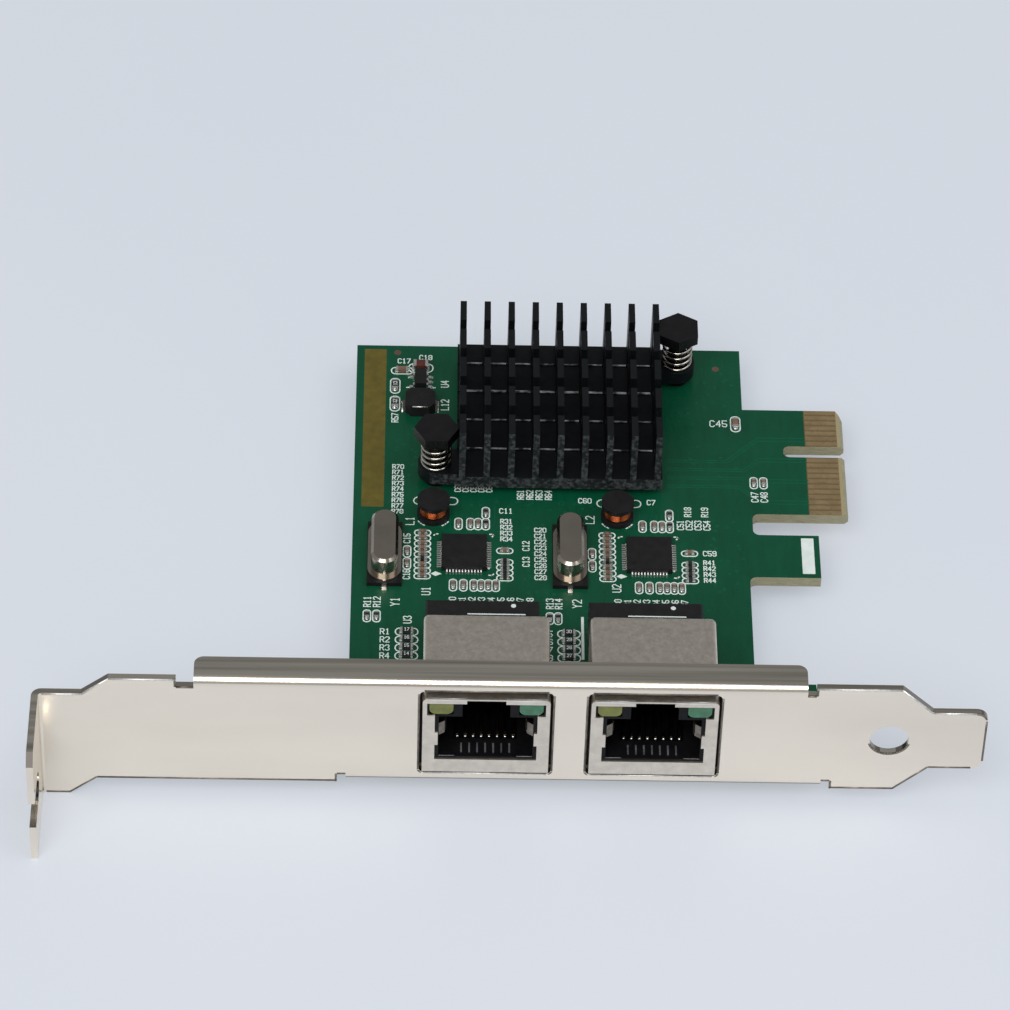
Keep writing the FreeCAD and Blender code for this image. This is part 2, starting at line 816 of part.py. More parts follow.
    inner = S.sheet_thick
    under_flange = PLATE_TOP - S.sheet_thick
    round_edges(owner, edges_between(
        ((0, inner, 0), (0, inner, PLATE_WIDE)),
        ((S.flange_start, 0, PLATE_TOP), (flange_end, 0, PLATE_TOP)),
        ((LIP_START, 0, S.plate_lift), (LIP_END, 0, S.plate_lift)),
    ), outside, "outer_bends")
    round_edges(owner, edges_between(
        ((inner, 0, 0), (inner, 0, PLATE_WIDE)),
        ((S.flange_start, inner, under_flange), (flange_end, inner, under_flange)),
        ((LIP_START, inner, BOARD_BOTTOM), (LIP_END, inner, BOARD_BOTTOM)),
    ), S.bend_inside, "inner_bends")
    corners = [
        {"x": port + side * half, "z": height}
        for port in PORTS for side in (-1, 1) for height in (WINDOW_LOW, WINDOW_HIGH)
    ]
    round_edges(owner, edges_at(*corners), S.window_corner, "window_corners")
    round_edges(owner, edges_at(
        {"x": BRACKET_END, "z": tongue_low},
        {"x": BRACKET_END, "z": tongue_high},
    ), S.tongue_corner, "tongue_corners")
    round_edges(owner, edges_at(
        {"x": S.flange_start, "y": S.flange_reach},
        {"x": flange_end, "y": S.flange_reach},
    ), S.flange_corner, "flange_corners")
    return keep(owner, "bracket")


def make_screw(x, label):
    """A slotted screw through the board into the bracket's lip."""
    shank_low = S.plate_lift - S.screw_tail
    shank = rod(f"{label}_shank", (x, S.screw_y, shank_low),
                S.screw_radius - S.screw_clearance, BOARD_TOP - shank_low)
    head = rod(f"{label}_head", (x, S.screw_y, BOARD_TOP), S.screw_head_radius, S.screw_head_high)
    slot = block_on(f"{label}_slot", x, S.screw_y, BOARD_TOP + S.screw_head_high - S.screw_slot_deep,
                    (S.screw_head_radius * 2, S.screw_slot_wide, S.screw_slot_deep))
    keep(cut_from(f"{label}_turned", joined(f"{label}_blank", [shank, head]), [slot]), label)


def drill(name, x, y, radius):
    """A small hole through the board, as round as flats show at its size."""
    item = doc.addObject("Part::Prism", name)
    item.Polygon = DRILL_FLATS
    bind(item, "Circumradius", radius)
    bind(item, "Height", S.board_thick)
    return place(item, x, y, BOARD_BOTTOM)


def make_board():
    """The board with its two ears, its edge connector and every hole that a piece goes through."""
    owner = body("board_body", 0, 0, BOARD_BOTTOM)
    outline = sketch_on(owner, "XY_Plane", "board_outline")
    draw_outline(outline, [
        (BOARD_X, BOARD_NEAR),
        (EAR_RIGHT, BOARD_NEAR),
        (EAR_RIGHT, S.corner_ear_far),
        (BOARD_RIGHT, S.corner_ear_far),
        (BOARD_RIGHT, GUARD_NEAR),
        (BOARD_RIGHT + S.guard_out, GUARD_NEAR),
        (BOARD_RIGHT + S.guard_out, GUARD_FAR),
        (NOTCH_LEFT, GUARD_FAR),
        (NOTCH_LEFT, EDGE_NEAR),
        (EDGE_RIGHT, EDGE_NEAR),
        (EDGE_RIGHT, KEY_NEAR),
        (KEY_LEFT, KEY_NEAR),
        (KEY_LEFT, KEY_FAR),
        (EDGE_RIGHT, KEY_FAR),
        (EDGE_RIGHT, EDGE_FAR - S.edge_cut_along),
        (EDGE_RIGHT - S.edge_cut_across, EDGE_FAR),
        (BOARD_RIGHT, EDGE_FAR),
        (BOARD_RIGHT, BOARD_FAR),
        (BOARD_X, BOARD_FAR),
    ])
    pad(owner, outline, S.board_thick, "board")
    holes = sketch_on(owner, "XY_Plane", "board_holes")
    for x in SCREWS_X:
        draw_circle(holes, (x, S.screw_y), S.screw_radius + S.screw_clearance)
    for out, back in PINS.values():
        draw_circle(holes, (SINK_X + out, SINK_Y + back), S.pin_radius + S.pin_hole_gap)
    for port in PORTS:
        for side in (-1, 1):
            draw_circle(holes, (port + side * PEG_X, PEG_Y), S.peg_radius + S.peg_clearance)
    pocket(owner, holes, "large_holes", reverse=True, depth=S.board_thick)
    round_edges(owner, edges_at(
        {"x": NOTCH_LEFT, "y": GUARD_FAR}, {"x": NOTCH_LEFT, "y": EDGE_NEAR},
        {"x": KEY_LEFT, "y": KEY_NEAR}, {"x": KEY_LEFT, "y": KEY_FAR},
        {"x": BOARD_RIGHT, "y": S.corner_ear_far}, {"x": BOARD_RIGHT, "y": GUARD_NEAR},
    ), S.board_corner, "milled_corners")
    round_edges(owner, edges_at(
        {"x": EDGE_RIGHT, "z": 0}, {"x": EDGE_RIGHT, "z": S.board_thick},
    ), S.edge_bevel, "edge_bevel", kind="Chamfer")
    drills = []
    for port in PORTS:
        small = [(x, y, S.drill_radius) for x, y in wire_tails()]
        small += [(x, LAMP_LEG_Y, S.drill_radius) for x in lamp_legs()]
        small += [(side * SHIELD_LEG_X, S.shield_leg_y, SHIELD_LEG_HOLE) for side in (-1, 1)]
        drills += [drill(f"drill_{len(drills) + number}", port + x, y, radius)
                   for number, (x, y, radius) in enumerate(small, start=1)]
    keep(cut_from("drilled_board", owner, drills), "circuit_board")


def make_edge_contacts(label, bottom):
    """The gold contacts on one face of the edge connector, counted out from the key."""
    left = EDGE_RIGHT - S.edge_cut_across - S.contact_long
    sides = (S.contact_long, S.contact_wide, S.contact_thick)
    near_first = KEY_NEAR - S.contact_from_key - S.contact_wide
    far_first = KEY_FAR + S.contact_from_key
    strips = []
    for number in range(NEAR_CONTACTS):
        low = (left, near_first - number * S.contact_pitch, bottom)
        strips.append(block(f"{label}_near_{number + 1}", low, sides))
    for number in range(FAR_CONTACTS):
        low = (left, far_first + number * S.contact_pitch, bottom)
        strips.append(block(f"{label}_far_{number + 1}", low, sides))
    keep(group(f"{label}_strips", strips), label)


def wire_tails():
    """Where a jack's contact tails go down, from the jack's middle, in two staggered rows."""
    tails = []
    for number in range(WIRES):
        x = (number - (WIRES - 1) / 2) * S.wire_pitch
        tails.append((x, S.tail_far_y if number % 2 else S.tail_near_y))
    return tails


def lamp_legs():
    """Where a jack's lamp legs go down, from the jack's middle."""
    return [
        side * LAMP_X + leg * S.lamp_leg_pitch / 2
        for side in (-1, 1) for leg in (-1, 1)
    ]


def make_shield(port, label):
    """The jack's folded shield, open below, with its front opening and two board legs."""
    owner = body(f"{label}_body", port, JACK_FRONT, JACK_BOTTOM)
    half = JACK_HALF
    shell = sketch_on(owner, "XY_Plane", f"{label}_plan")
    draw_outline(shell, [(-half, 0), (half, 0), (half, S.jack_deep), (-half, S.jack_deep)])
    pad(owner, shell, S.jack_high, f"{label}_shell")
    round_edges(owner, edges_at(
        {"x": -half, "z": S.jack_high}, {"x": half, "z": S.jack_high},
        {"y": S.jack_deep, "z": S.jack_high},
        {"x": -half, "y": S.jack_deep}, {"x": half, "y": S.jack_deep},
    ), S.shield_bend, f"{label}_bends")
    inside = half - S.shield_thick
    back = S.jack_deep - S.shield_thick
    hollow = sketch_on(owner, "XY_Plane", f"{label}_hollow")
    draw_outline(hollow, [
        (-inside, S.shield_thick), (inside, S.shield_thick), (inside, back), (-inside, back),
    ])
    pocket(owner, hollow, f"{label}_inside", reverse=True, depth=S.jack_high - S.shield_thick)
    front = sketch_on(owner, "XZ_Plane", f"{label}_front")
    grip_half = MOUTH_HALF - S.grip_deep
    row_half = half - S.front_rim
    row_low = S.jack_high - S.lamp_row_drop
    row_high = S.jack_high - S.lamp_row_under_top
    right_side = [
        (MOUTH_HALF, S.mouth_low),
        (MOUTH_HALF, S.grip_low),
        (grip_half, S.grip_low),
        (grip_half, S.grip_high),
        (MOUTH_HALF, S.grip_high),
        (MOUTH_HALF, row_low),
        (row_half, row_low),
        (row_half, row_high),
        (S.latch_half, row_high),
        (S.latch_half, S.jack_high - S.shield_thick),
    ]
    left_side = [(-x, z) for x, z in reversed(right_side)]
    draw_outline(front, right_side + left_side)
    pocket(owner, front, f"{label}_mouth", depth=S.shield_thick)
    legs = sketch_on(owner, "XY_Plane", f"{label}_legs_plan")
    leg_near = S.shield_leg_y - JACK_FRONT - S.shield_leg_long / 2
    leg_far = leg_near + S.shield_leg_long
    for inner, outer in ((-inside, -half), (inside, half)):
        draw_outline(legs, [(inner, leg_near), (outer, leg_near), (outer, leg_far), (inner, leg_far)])
    pad(owner, legs, JACK_BOTTOM - TAIL_END, f"{label}_legs", reverse=True)
    keep(owner, label)


def make_housing(port, label):
    """The jack's moulded housing: plug cavity, latch way, wire channel, lamp bores and pegs."""
    owner = body(f"{label}_body", port, HOUSING_FRONT, BOARD_TOP)
    half = JACK_HALF - S.shield_thick - S.housing_gap
    block_plan = sketch_on(owner, "XY_Plane", f"{label}_plan")
    deep = HOUSING_BACK - HOUSING_FRONT
    draw_outline(block_plan, [(-half, 0), (half, 0), (half, deep), (-half, deep)])
    pad(owner, block_plan, HOUSING_TOP - BOARD_TOP, f"{label}_block")
    mouth = sketch_on(owner, "XZ_Plane", f"{label}_mouth")
    low = LAMP_BOTTOM - BOARD_TOP - S.housing_gap
    high = LAMP_BOTTOM + S.lamp_high - BOARD_TOP + S.housing_gap
    cavity_half = MOUTH_HALF - S.cavity_inset
    cavity_high = low - S.housing_wall
    right_side = [
        (cavity_half, S.cavity_floor),
        (cavity_half, cavity_high),
        (S.latch_way_half, cavity_high),
        (S.latch_way_half, HOUSING_TOP - S.housing_wall - BOARD_TOP),
    ]
    draw_outline(mouth, right_side + [(-x, z) for x, z in reversed(right_side)])
    pocket(owner, mouth, f"{label}_cavity", depth=S.cavity_deep)
    channel = sketch_on(owner, "XY_Plane", f"{label}_wire_plan")
    lift_sketch(channel, S.wire_way_floor)
    channel_near = S.wire_bend_y - S.wire_way_room - HOUSING_FRONT
    channel_half = WIRES * S.wire_pitch / 2
    draw_outline(channel, [
        (-channel_half, channel_near), (channel_half, channel_near),
        (channel_half, S.cavity_deep), (-channel_half, S.cavity_deep),
    ])
    pocket(owner, channel, f"{label}_wire_way", reverse=True, depth=S.cavity_floor - S.wire_way_floor)
    tails = sketch_on(owner, "XY_Plane", f"{label}_tail_plan")
    tail_near = S.tail_near_y - S.wire_way_room - HOUSING_FRONT
    draw_outline(tails, [
        (-channel_half, tail_near), (channel_half, tail_near),
        (channel_half, S.cavity_deep), (-channel_half, S.cavity_deep),
    ])
    pocket(owner, tails, f"{label}_tail_way", reverse=True, depth=S.wire_way_floor)
    bores = sketch_on(owner, "XZ_Plane", f"{label}_lamp_bores")
    for side in (-1, 1):
        left = side * LAMP_X - S.lamp_wide / 2 - S.housing_gap
        right = side * LAMP_X + S.lamp_wide / 2 + S.housing_gap
        draw_outline(bores, [(left, low), (right, low), (right, high), (left, high)])
    pocket(owner, bores, f"{label}_lamp_ways", depth=deep)
    pegs = sketch_on(owner, "XY_Plane", f"{label}_peg_plan")
    for side in (-1, 1):
        draw_circle(pegs, (side * PEG_X, PEG_Y - HOUSING_FRONT), S.peg_radius)
    pad(owner, pegs, BOARD_TOP - TAIL_END, f"{label}_pegs", reverse=True)
    keep(owner, label)


def make_wires(port, label):
    """The jack's eight spring wires: a tail, a run under the plug, a bend and the sprung end."""
    owner = body(f"{label}_body", port, 0, BOARD_TOP)
    owner.AllowCompound = True
    thick = S.wire_thick
    run = S.wire_way_floor
    step = 2 * S.wire_pitch
    for row, tail_y in enumerate((S.tail_near_y, S.tail_far_y)):
        side = sketch_on(owner, "YZ_Plane", f"{label}_profile_{row + 1}")
        tail_low = TAIL_END - BOARD_TOP
        draw_outline(side, [
            (tail_y - thick / 2, tail_low),
            (tail_y + thick / 2, tail_low),
            (tail_y + thick / 2, run + thick),
            (S.wire_bend_y + thick, run + thick),
            (S.wire_bend_y + thick, S.wire_bend_height),
            (S.wire_end_y, S.wire_end_height),
            (S.wire_end_y, S.wire_end_height + thick),
            (S.wire_bend_y, S.wire_bend_height + thick),
            (S.wire_bend_y, run),
            (tail_y - thick / 2, run),
        ])
        lift_sketch(side, (row - (WIRES - 1) / 2) * S.wire_pitch)
        wire = pad(owner, side, S.wire_wide, f"{label}_wire_{row + 1}", both=True)
        count = WIRES // 2
        repeat(owner, wire, "X_Axis", step * (count - 1), count, f"{label}_wires_{row + 1}")
    keep(owner, label)


def make_lamp(port, side, label):
    """A lamp seen through the shield's front, on two legs that go down behind the housing."""
    owner = body(f"{label}_body", port + side * LAMP_X, HOUSING_FRONT, LAMP_BOTTOM)
    half = S.lamp_wide / 2
    face = sketch_on(owner, "XZ_Plane", f"{label}_face")
    draw_outline(face, [(-half, 0), (half, 0), (half, S.lamp_high), (-half, S.lamp_high)])
    pad(owner, face, S.lamp_deep, f"{label}_lens", reverse=True)
    round_edges(owner, edges_at({"x": -half, "z": 0}, {"x": half, "z": 0}),
                S.lamp_round, f"{label}_rounding")
    leg_half = S.lamp_leg_side / 2
    middle = S.lamp_high / 2
    leg_back = LAMP_LEG_Y - HOUSING_FRONT + leg_half
    along = sketch_on(owner, "XZ_Plane", f"{label}_legs_section")
    down = sketch_on(owner, "XY_Plane", f"{label}_legs_plan")
    for leg in (-1, 1):
        left = leg * S.lamp_leg_pitch / 2 - leg_half
        right = leg * S.lamp_leg_pitch / 2 + leg_half
        draw_outline(along, [
            (left, middle - leg_half), (right, middle - leg_half),
            (right, middle + leg_half), (left, middle + leg_half),
        ])
        draw_outline(down, [
            (left, leg_back - S.lamp_leg_side), (right, leg_back - S.lamp_leg_side),
            (right, leg_back), (left, leg_back),
        ])
    pad(owner, along, leg_back, f"{label}_legs_along", reverse=True)
    lift_sketch(down, middle + leg_half)
    pad(owner, down, LAMP_BOTTOM + middle + leg_half - TAIL_END, f"{label}_legs_down", reverse=True)
    keep(owner, label)


def gull_leads(name, centre, half, rows, lead, turn=None):
    """Two rows of gull-wing leads; each row has its side, its count and its pitch."""
    wide, thick, height, shoulder, foot = lead
    owner = body(name, *centre, BOARD_TOP, turn)
    owner.AllowCompound = True
    for side, count, pitch in rows:
        profile = sketch_on(owner, "YZ_Plane", f"{name}_profile_{count}_{side + 1}")
        draw_outline(profile, [
            (side * half, height + thick),
            (side * (half + shoulder), height + thick),
            (side * (half + shoulder), thick),
            (side * (half + shoulder + foot), thick),
            (side * (half + shoulder + foot), 0),
            (side * (half + shoulder - thick), 0),
            (side * (half + shoulder - thick), height),
            (side * half, height),
        ])
        lift_sketch(profile, -pitch * (count - 1) / 2)
        first = pad(owner, profile, wide, f"{name}_lead_{count}_{side + 1}", both=True)
        repeat(owner, first, "X_Axis", pitch * (count - 1), count, f"{name}_row_{count}_{side + 1}")
    return owner


def make_transformer(port, label):
    """A moulded transformer with draft on its long sides, on two rows of leads."""
    x = port + S.transformer_shift
    half = S.transformer_deep / 2
    owner = body(f"{label}_body", x, TRANSFORMER_Y, BOARD_TOP + S.transformer_lift)
    section = sketch_on(owner, "YZ_Plane", f"{label}_section")
    parting = S.lead_height - S.transformer_lift + S.lead_thick / 2
    tapered = half - S.transformer_taper
    draw_outline(section, [
        (-tapered, 0), (tapered, 0), (half, parting),
        (tapered, S.transformer_high), (-tapered, S.transformer_high), (-half, parting),
    ])
    pad(owner, section, TRANSFORMER_WIDE, f"{label}_moulding", both=True)
    round_edges(owner, edges_at(
        {"z": S.transformer_high, "y": -tapered}, {"z": S.transformer_high, "y": tapered},
        {"z": S.transformer_high, "x": -TRANSFORMER_WIDE / 2},
        {"z": S.transformer_high, "x": TRANSFORMER_WIDE / 2},
    ), S.transformer_bevel, f"{label}_bevel", kind="Chamfer")
    keep(owner, f"{label}_body")
    lead = (S.lead_wide, S.lead_thick, S.lead_height, S.lead_shoulder, S.lead_foot)
    rows = [(side, TRANSFORMER_LEADS, S.lead_pitch) for side in (-1, 1)]
    keep(gull_leads(f"{label}_lead_frame", (x, TRANSFORMER_Y), half, rows, lead), f"{label}_leads")


def make_leadless_chip(x, y, side, high, count, pitch, label):
    """A flat moulded chip with a pin-one dimple, on pads that stick out all round."""
    half = side / 2
    owner = body(f"{label}_moulded", x, y, BOARD_TOP + S.chip_pad_thick)
    plan = sketch_on(owner, "XY_Plane", f"{label}_plan")
    draw_outline(plan, [(-half, -half), (half, -half), (half, half), (-half, half)])
    pad(owner, plan, high, f"{label}_moulding")
    mark = sketch_on(owner, "XY_Plane", f"{label}_mark")
    lift_sketch(mark, high)
    draw_circle(mark, (S.mark_inset - half, S.mark_inset - half), S.mark_radius)
    pocket(owner, mark, f"{label}_dimple", depth=S.mark_deep)
    keep(owner, label)
    pads = body(f"{label}_pad_body", x, y, BOARD_TOP)
    pads.AllowCompound = True
    outer = half + S.chip_pad_out
    inner = outer - S.chip_pad_long
    first = -pitch * (count - 1) / 2
    low = first - S.chip_pad_wide / 2
    high = first + S.chip_pad_wide / 2
    front = sketch_on(pads, "XY_Plane", f"{label}_front_pads")
    sides = sketch_on(pads, "XY_Plane", f"{label}_side_pads")
    for way in (-1, 1):
        start, end = way * inner, way * outer
        draw_outline(front, [(low, start), (high, start), (high, end), (low, end)])
        draw_outline(sides, [(start, low), (end, low), (end, high), (start, high)])
    reach = pitch * (count - 1)
    row = pad(pads, front, S.chip_pad_thick, f"{label}_first_front")
    repeat(pads, row, "X_Axis", reach, count, f"{label}_front_row")
    row = pad(pads, sides, S.chip_pad_thick, f"{label}_first_side")
    repeat(pads, row, "Y_Axis", reach, count, f"{label}_side_row")
    keep(pads, f"{label}_pads")


def make_crystal(x, label):
    """A metal-can crystal on its insulating base, its two leads folded out along the board."""
    y = PHY_Y - S.crystal_back
    base = body(f"{label}_base_body", x, y, BOARD_TOP)
    plan = sketch_on(base, "XY_Plane", f"{label}_base_plan")
    half_wide, half_long = S.base_wide / 2, S.base_long / 2
    draw_outline(plan, [
        (-half_wide, -half_long), (half_wide, -half_long),
        (half_wide, half_long), (-half_wide, half_long),
    ])
    pad(base, plan, S.base_high, f"{label}_base_plate")
    groove = sketch_on(base, "XZ_Plane", f"{label}_groove_section")
    groove_half = S.crystal_lead_wide / 2
    draw_outline(groove, [
        (-groove_half, 0), (groove_half, 0),
        (groove_half, S.crystal_lead_thick), (-groove_half, S.crystal_lead_thick),
    ])
    pocket(base, groove, f"{label}_groove", depth=S.base_long, both=True)
    keep(base, f"{label}_base")

    can = body(f"{label}_can_body", x, y, BOARD_TOP + S.base_high)
    brim = sketch_on(can, "XY_Plane", f"{label}_brim_plan")
    draw_stadium(brim, S.brim_long, S.brim_wide)
    pad(can, brim, S.brim_high, f"{label}_brim")
    wall = sketch_on(can, "XY_Plane", f"{label}_wall_plan")
    draw_stadium(wall, S.can_long, S.can_wide)
    pad(can, wall, S.brim_high + S.can_high, f"{label}_wall")
    top = (S.brim_high + S.can_high).value
    round_edges(can, lambda edge: all(abs(end.Point.z - top) < TINY for end in edge.Vertexes),
                S.can_round, f"{label}_shoulder", kind="Chamfer")
    keep(can, f"{label}_can")

    leads = []
    reach = S.crystal_lead_out + S.crystal_lead_under
    for end, low in (("near", y - half_long - S.crystal_lead_out),
                     ("far", y + half_long - S.crystal_lead_under)):
        leads.append(block(f"{label}_{end}_lead", (x - groove_half, low, BOARD_TOP),
                           (S.crystal_lead_wide, reach, S.crystal_lead_thick)))
    keep(group(f"{label}_lead_pair", leads), f"{label}_leads")


def make_inductor(x, label):
    """A drum core turned in one piece, with its copper winding between the two discs."""
    upper = S.drum_high - S.drum_rim
    core = body(f"{label}_core_body", x, DRUM_Y, BOARD_TOP)
    section = sketch_on(core, "XZ_Plane", f"{label}_core_section")
    draw_outline(section, [
        (0, 0), (S.drum_radius, 0), (S.drum_radius, S.drum_rim), (S.drum_post, S.drum_rim),
        (S.drum_post, upper), (S.drum_radius, upper), (S.drum_radius, S.drum_high),
        (0, S.drum_high),
    ])
    spin(core, section, f"{label}_turning")
    keep(core, f"{label}_core")
    coil = body(f"{label}_winding_body", x, DRUM_Y, BOARD_TOP)
    section = sketch_on(coil, "XZ_Plane", f"{label}_winding_section")
    draw_outline(section, [
        (S.drum_post, S.drum_rim), (S.winding_radius, S.drum_rim),
        (S.winding_radius, upper), (S.drum_post, upper),
    ])
    spin(coil, section, f"{label}_wound")
    keep(coil, f"{label}_winding")


def make_power_parts():
    """The input corner: a shielded choke, a five-leg regulator and the input capacitor."""
    choke = body("choke_body", CHOKE_X, CHOKE_Y, BOARD_TOP)
    half_long, half_deep = S.choke_long / 2, S.choke_deep / 2
    plan = sketch_on(choke, "XY_Plane", "choke_plan")
    corner = S.choke_corner
    quarter = [(half_long - corner, half_deep), (half_long, half_deep - corner)]
    right = quarter + [(x, -y) for x, y in reversed(quarter)]
    draw_outline(plan, right + [(-x, y) for x, y in reversed(right)])
    pad(choke, plan, S.choke_high, "choke_block")
    feet = sketch_on(choke, "XY_Plane", "choke_foot_recesses")
    pads = []
    for name, inner, outer in (
        ("left", -half_long + S.choke_pad_wide, -half_long - S.choke_pad_out),
        ("right", half_long - S.choke_pad_wide, half_long + S.choke_pad_out),
    ):
        reach = half_deep - corner
        draw_outline(feet, [(inner, -reach), (outer, -reach), (outer, reach), (inner, reach)])
        low = inner if name == "right" else outer
        pads.append(block(f"choke_{name}_foot", (CHOKE_X + low, CHOKE_Y - reach, BOARD_TOP),
                          (S.choke_pad_wide + S.choke_pad_out, 2 * reach, S.choke_pad_thick)))
    pocket(choke, feet, "choke_feet_room", reverse=True, depth=S.choke_pad_thick)
    keep(choke, "power_inductor")
    keep(group("choke_feet", pads), "power_inductor_terminals")

    centre = (CHOKE_X, REGULATOR_Y)
    keep(block_on("regulator_block", *centre, BOARD_TOP + S.regulator_lift,
                  (S.regulator_wide, S.regulator_long, S.regulator_high)), "regulator_body")
    lead = (S.regulator_lead_wide, S.regulator_lead_thick, S.regulator_lead_height,
            S.regulator_lead_shoulder, S.regulator_lead_foot)
    rows = [(-1, 3, S.regulator_lead_pitch), (1, 2, 2 * S.regulator_lead_pitch)]
    leads = gull_leads("regulator_lead_frame", centre, S.regulator_wide / 2, rows, lead, QUARTER_TURN)
    keep(leads, "regulator_leads")

    sides = (S.input_cap_long, S.input_cap_wide, S.input_cap_high)
    piece, ends = chip_part("input_cap", CHOKE_X, INPUT_CAP_Y, "X", sides, S.input_cap_end)
    keep(piece, "input_capacitor_body")
    keep(group("input_cap_both_ends", ends), "input_capacitor_ends")


def make_heatsink():
    """A finned sink: base with two pin ears, fins in a row, cross-cut into short blades."""
    owner = body("heatsink_body", SINK_X, SINK_Y, SINK_BOTTOM)
    half_long, half_deep = S.sink_long / 2, S.sink_deep / 2
    plan = sketch_on(owner, "XY_Plane", "sink_plan")
    draw_outline(plan, [
        (-half_long, -half_deep), (half_long, -half_deep),
        (half_long, half_deep), (-half_long, half_deep),
    ])
    pad(owner, plan, S.sink_base, "sink_base_plate")
    for name, (x, y) in PINS.items():
        neck = sketch_on(owner, "XY_Plane", f"sink_{name}_neck")
        inner = half_long - S.fin_inset if name == "far" else S.fin_inset - half_long
        draw_outline(neck, [
            (x, y - S.sink_ear_radius), (inner, y - S.sink_ear_radius),
            (inner, y + S.sink_ear_radius), (x, y + S.sink_ear_radius),
        ])
        pad(owner, neck, S.sink_base, f"sink_{name}_neck_plate")
        ear = sketch_on(owner, "XY_Plane", f"sink_{name}_ear")
        draw_circle(ear, (x, y), S.sink_ear_radius)
        pad(owner, ear, S.sink_base, f"sink_{name}_ear_plate")
    holes = sketch_on(owner, "XY_Plane", "sink_pin_holes")
    for place_on_sink in PINS.values():
        draw_circle(holes, place_on_sink, S.pin_radius + S.pin_hole_gap)
    pocket(owner, holes, "sink_holes", reverse=True, depth=S.sink_base)
    fin = sketch_on(owner, "XZ_Plane", "fin_section")
    left = -half_long + S.fin_inset
    base = S.sink_base
    draw_outline(fin, [
        (left, base), (left + S.fin_thick, base),
        (left + S.fin_thick, base + S.fin_high), (left, base + S.fin_high),
    ])
    blade = pad(owner, fin, S.sink_deep, "fin", both=True)
    reach = S.sink_long - 2 * S.fin_inset - S.fin_thick
    repeat(owner, blade, "X_Axis", reach, FINS, "fins")
    gap = (S.sink_deep - FIN_ROWS * S.row_long) / (FIN_ROWS - 1)
    near = -half_deep + S.row_long
    cut = sketch_on(owner, "YZ_Plane", "cross_cut_section")
    floor = base - S.saw_deep
    draw_outline(cut, [
        (near, floor), (near + gap, floor),
        (near + gap, base + S.fin_high), (near, base + S.fin_high),
    ])
    cross = pocket(owner, cut, "cross_cut", depth=S.sink_long, both=True)
    step = S.row_long + gap
    repeat(owner, cross, "Y_Axis", step * (FIN_ROWS - 2), FIN_ROWS - 1, "cross_cuts")
    keep(owner, "heatsink")


def make_push_pin(name, point_along_x):
    """A moulded pin with a hexagonal head and a split barb, and the spring round its shank."""
    out, back = PINS[name]
    x, y = SINK_X + out, SINK_Y + back
    owner = body(f"push_pin_{name}_body", x, y, BOARD_BOTTOM)
    top = BOARD_TOP + S.pin_head_top - BOARD_BOTTOM
    under_head = top - S.pin_head_high
    shank = sketch_on(owner, "XZ_Plane", f"push_pin_{name}_section")
    draw_outline(shank, [
        (0, -S.barb_long), (S.barb_tip, -S.barb_long), (S.barb_radius, 0),
        (S.pin_radius, 0), (S.pin_radius, under_head), (0, under_head),
    ])
    spin(owner, shank, f"push_pin_{name}_shank")
    head = sketch_on(owner, "XY_Plane", f"push_pin_{name}_head_plan")
    lift_sketch(head, under_head)
    side = S.pin_head_flats / 2
    point = side * 2 / math.sqrt(3)
    ring = [(point, 0), (point / 2, side), (-point / 2, side),
            (-point, 0), (-point / 2, -side), (point / 2, -side)]
    if not point_along_x:
        ring = [(y, x) for x, y in reversed(ring)]
    draw_outline(head, ring)
    pad(owner, head, S.pin_head_high, f"push_pin_{name}_head")
    split = sketch_on(owner, "XZ_Plane", f"push_pin_{name}_split_section")
    half = S.barb_split / 2
    draw_outline(split, [
        (-half, -S.barb_long), (half, -S.barb_long), (half, S.board_thick), (-half, S.board_thick),
    ])
    pocket(owner, split, f"push_pin_{name}_split", depth=2 * S.barb_radius, both=True)
    keep(owner, f"push_pin_{name}")

    low = SINK_TOP + S.spring_wire / 2
    height = BOARD_BOTTOM + under_head - SINK_TOP - S.spring_wire
    coil = doc.addObject("Part::Helix", f"pin_spring_{name}_path")
    bind(coil, "Radius", S.spring_radius)
    bind(coil, "Height", height)
    bind(coil, "Pitch", height / S.spring_turns)
    place(coil, x, y, low)
    wire = doc.addObject("Part::RegularPolygon", f"pin_spring_{name}_section")
    wire.Polygon = SPRING_FACETS
    bind(wire, "Circumradius", S.spring_wire / 2)
    place(wire, x + S.spring_radius, y, low, FreeCAD.Rotation(Vector(1, 0, 0), 90))
    spring = doc.addObject("Part::Sweep", f"pin_spring_{name}_coil")
    spring.Sections = [wire]
    spring.Spine = (coil, ["Edge1"])
    spring.Solid = True
    spring.Frenet = True
    keep(spring, f"pin_spring_{name}")


def chip_part(name, x, y, along, sides, end_long):
    """A chip part's ceramic piece and its two metal ends, lying along X or along Y."""
    long, wide, high = sides
    middle = long - 2 * end_long
    proud = S.chip_end_proud
    bottom = BOARD_TOP + proud
    tall = high + 2 * proud
    broad = wide + 2 * proud
    if along == "X":
        piece = block_on(f"{name}_piece", x, y, bottom, (middle, wide, high))
        shift = (middle + end_long) / 2
        ends = [
            block_on(f"{name}_end_{way + 1}", x + way * shift, y, BOARD_TOP, (end_long, broad, tall))
            for way in (-1, 1)
        ]
    else:
        piece = block_on(f"{name}_piece", x, y, bottom, (wide, middle, high))
        shift = (middle + end_long) / 2
        ends = [
            block_on(f"{name}_end_{way + 1}", x, y + way * shift, BOARD_TOP, (broad, end_long, tall))
            for way in (-1, 1)
        ]
    return piece, ends


def column(x, y, pitch, count, along):
    """Places of a column of chip parts, one behind the other."""
    return [(x, y + number * pitch, along) for number in range(count)]


def row(x, y, pitch, count, along):
    """Places of a row of chip parts, side by side."""
    return [(x + number * pitch, y, along) for number in range(count)]


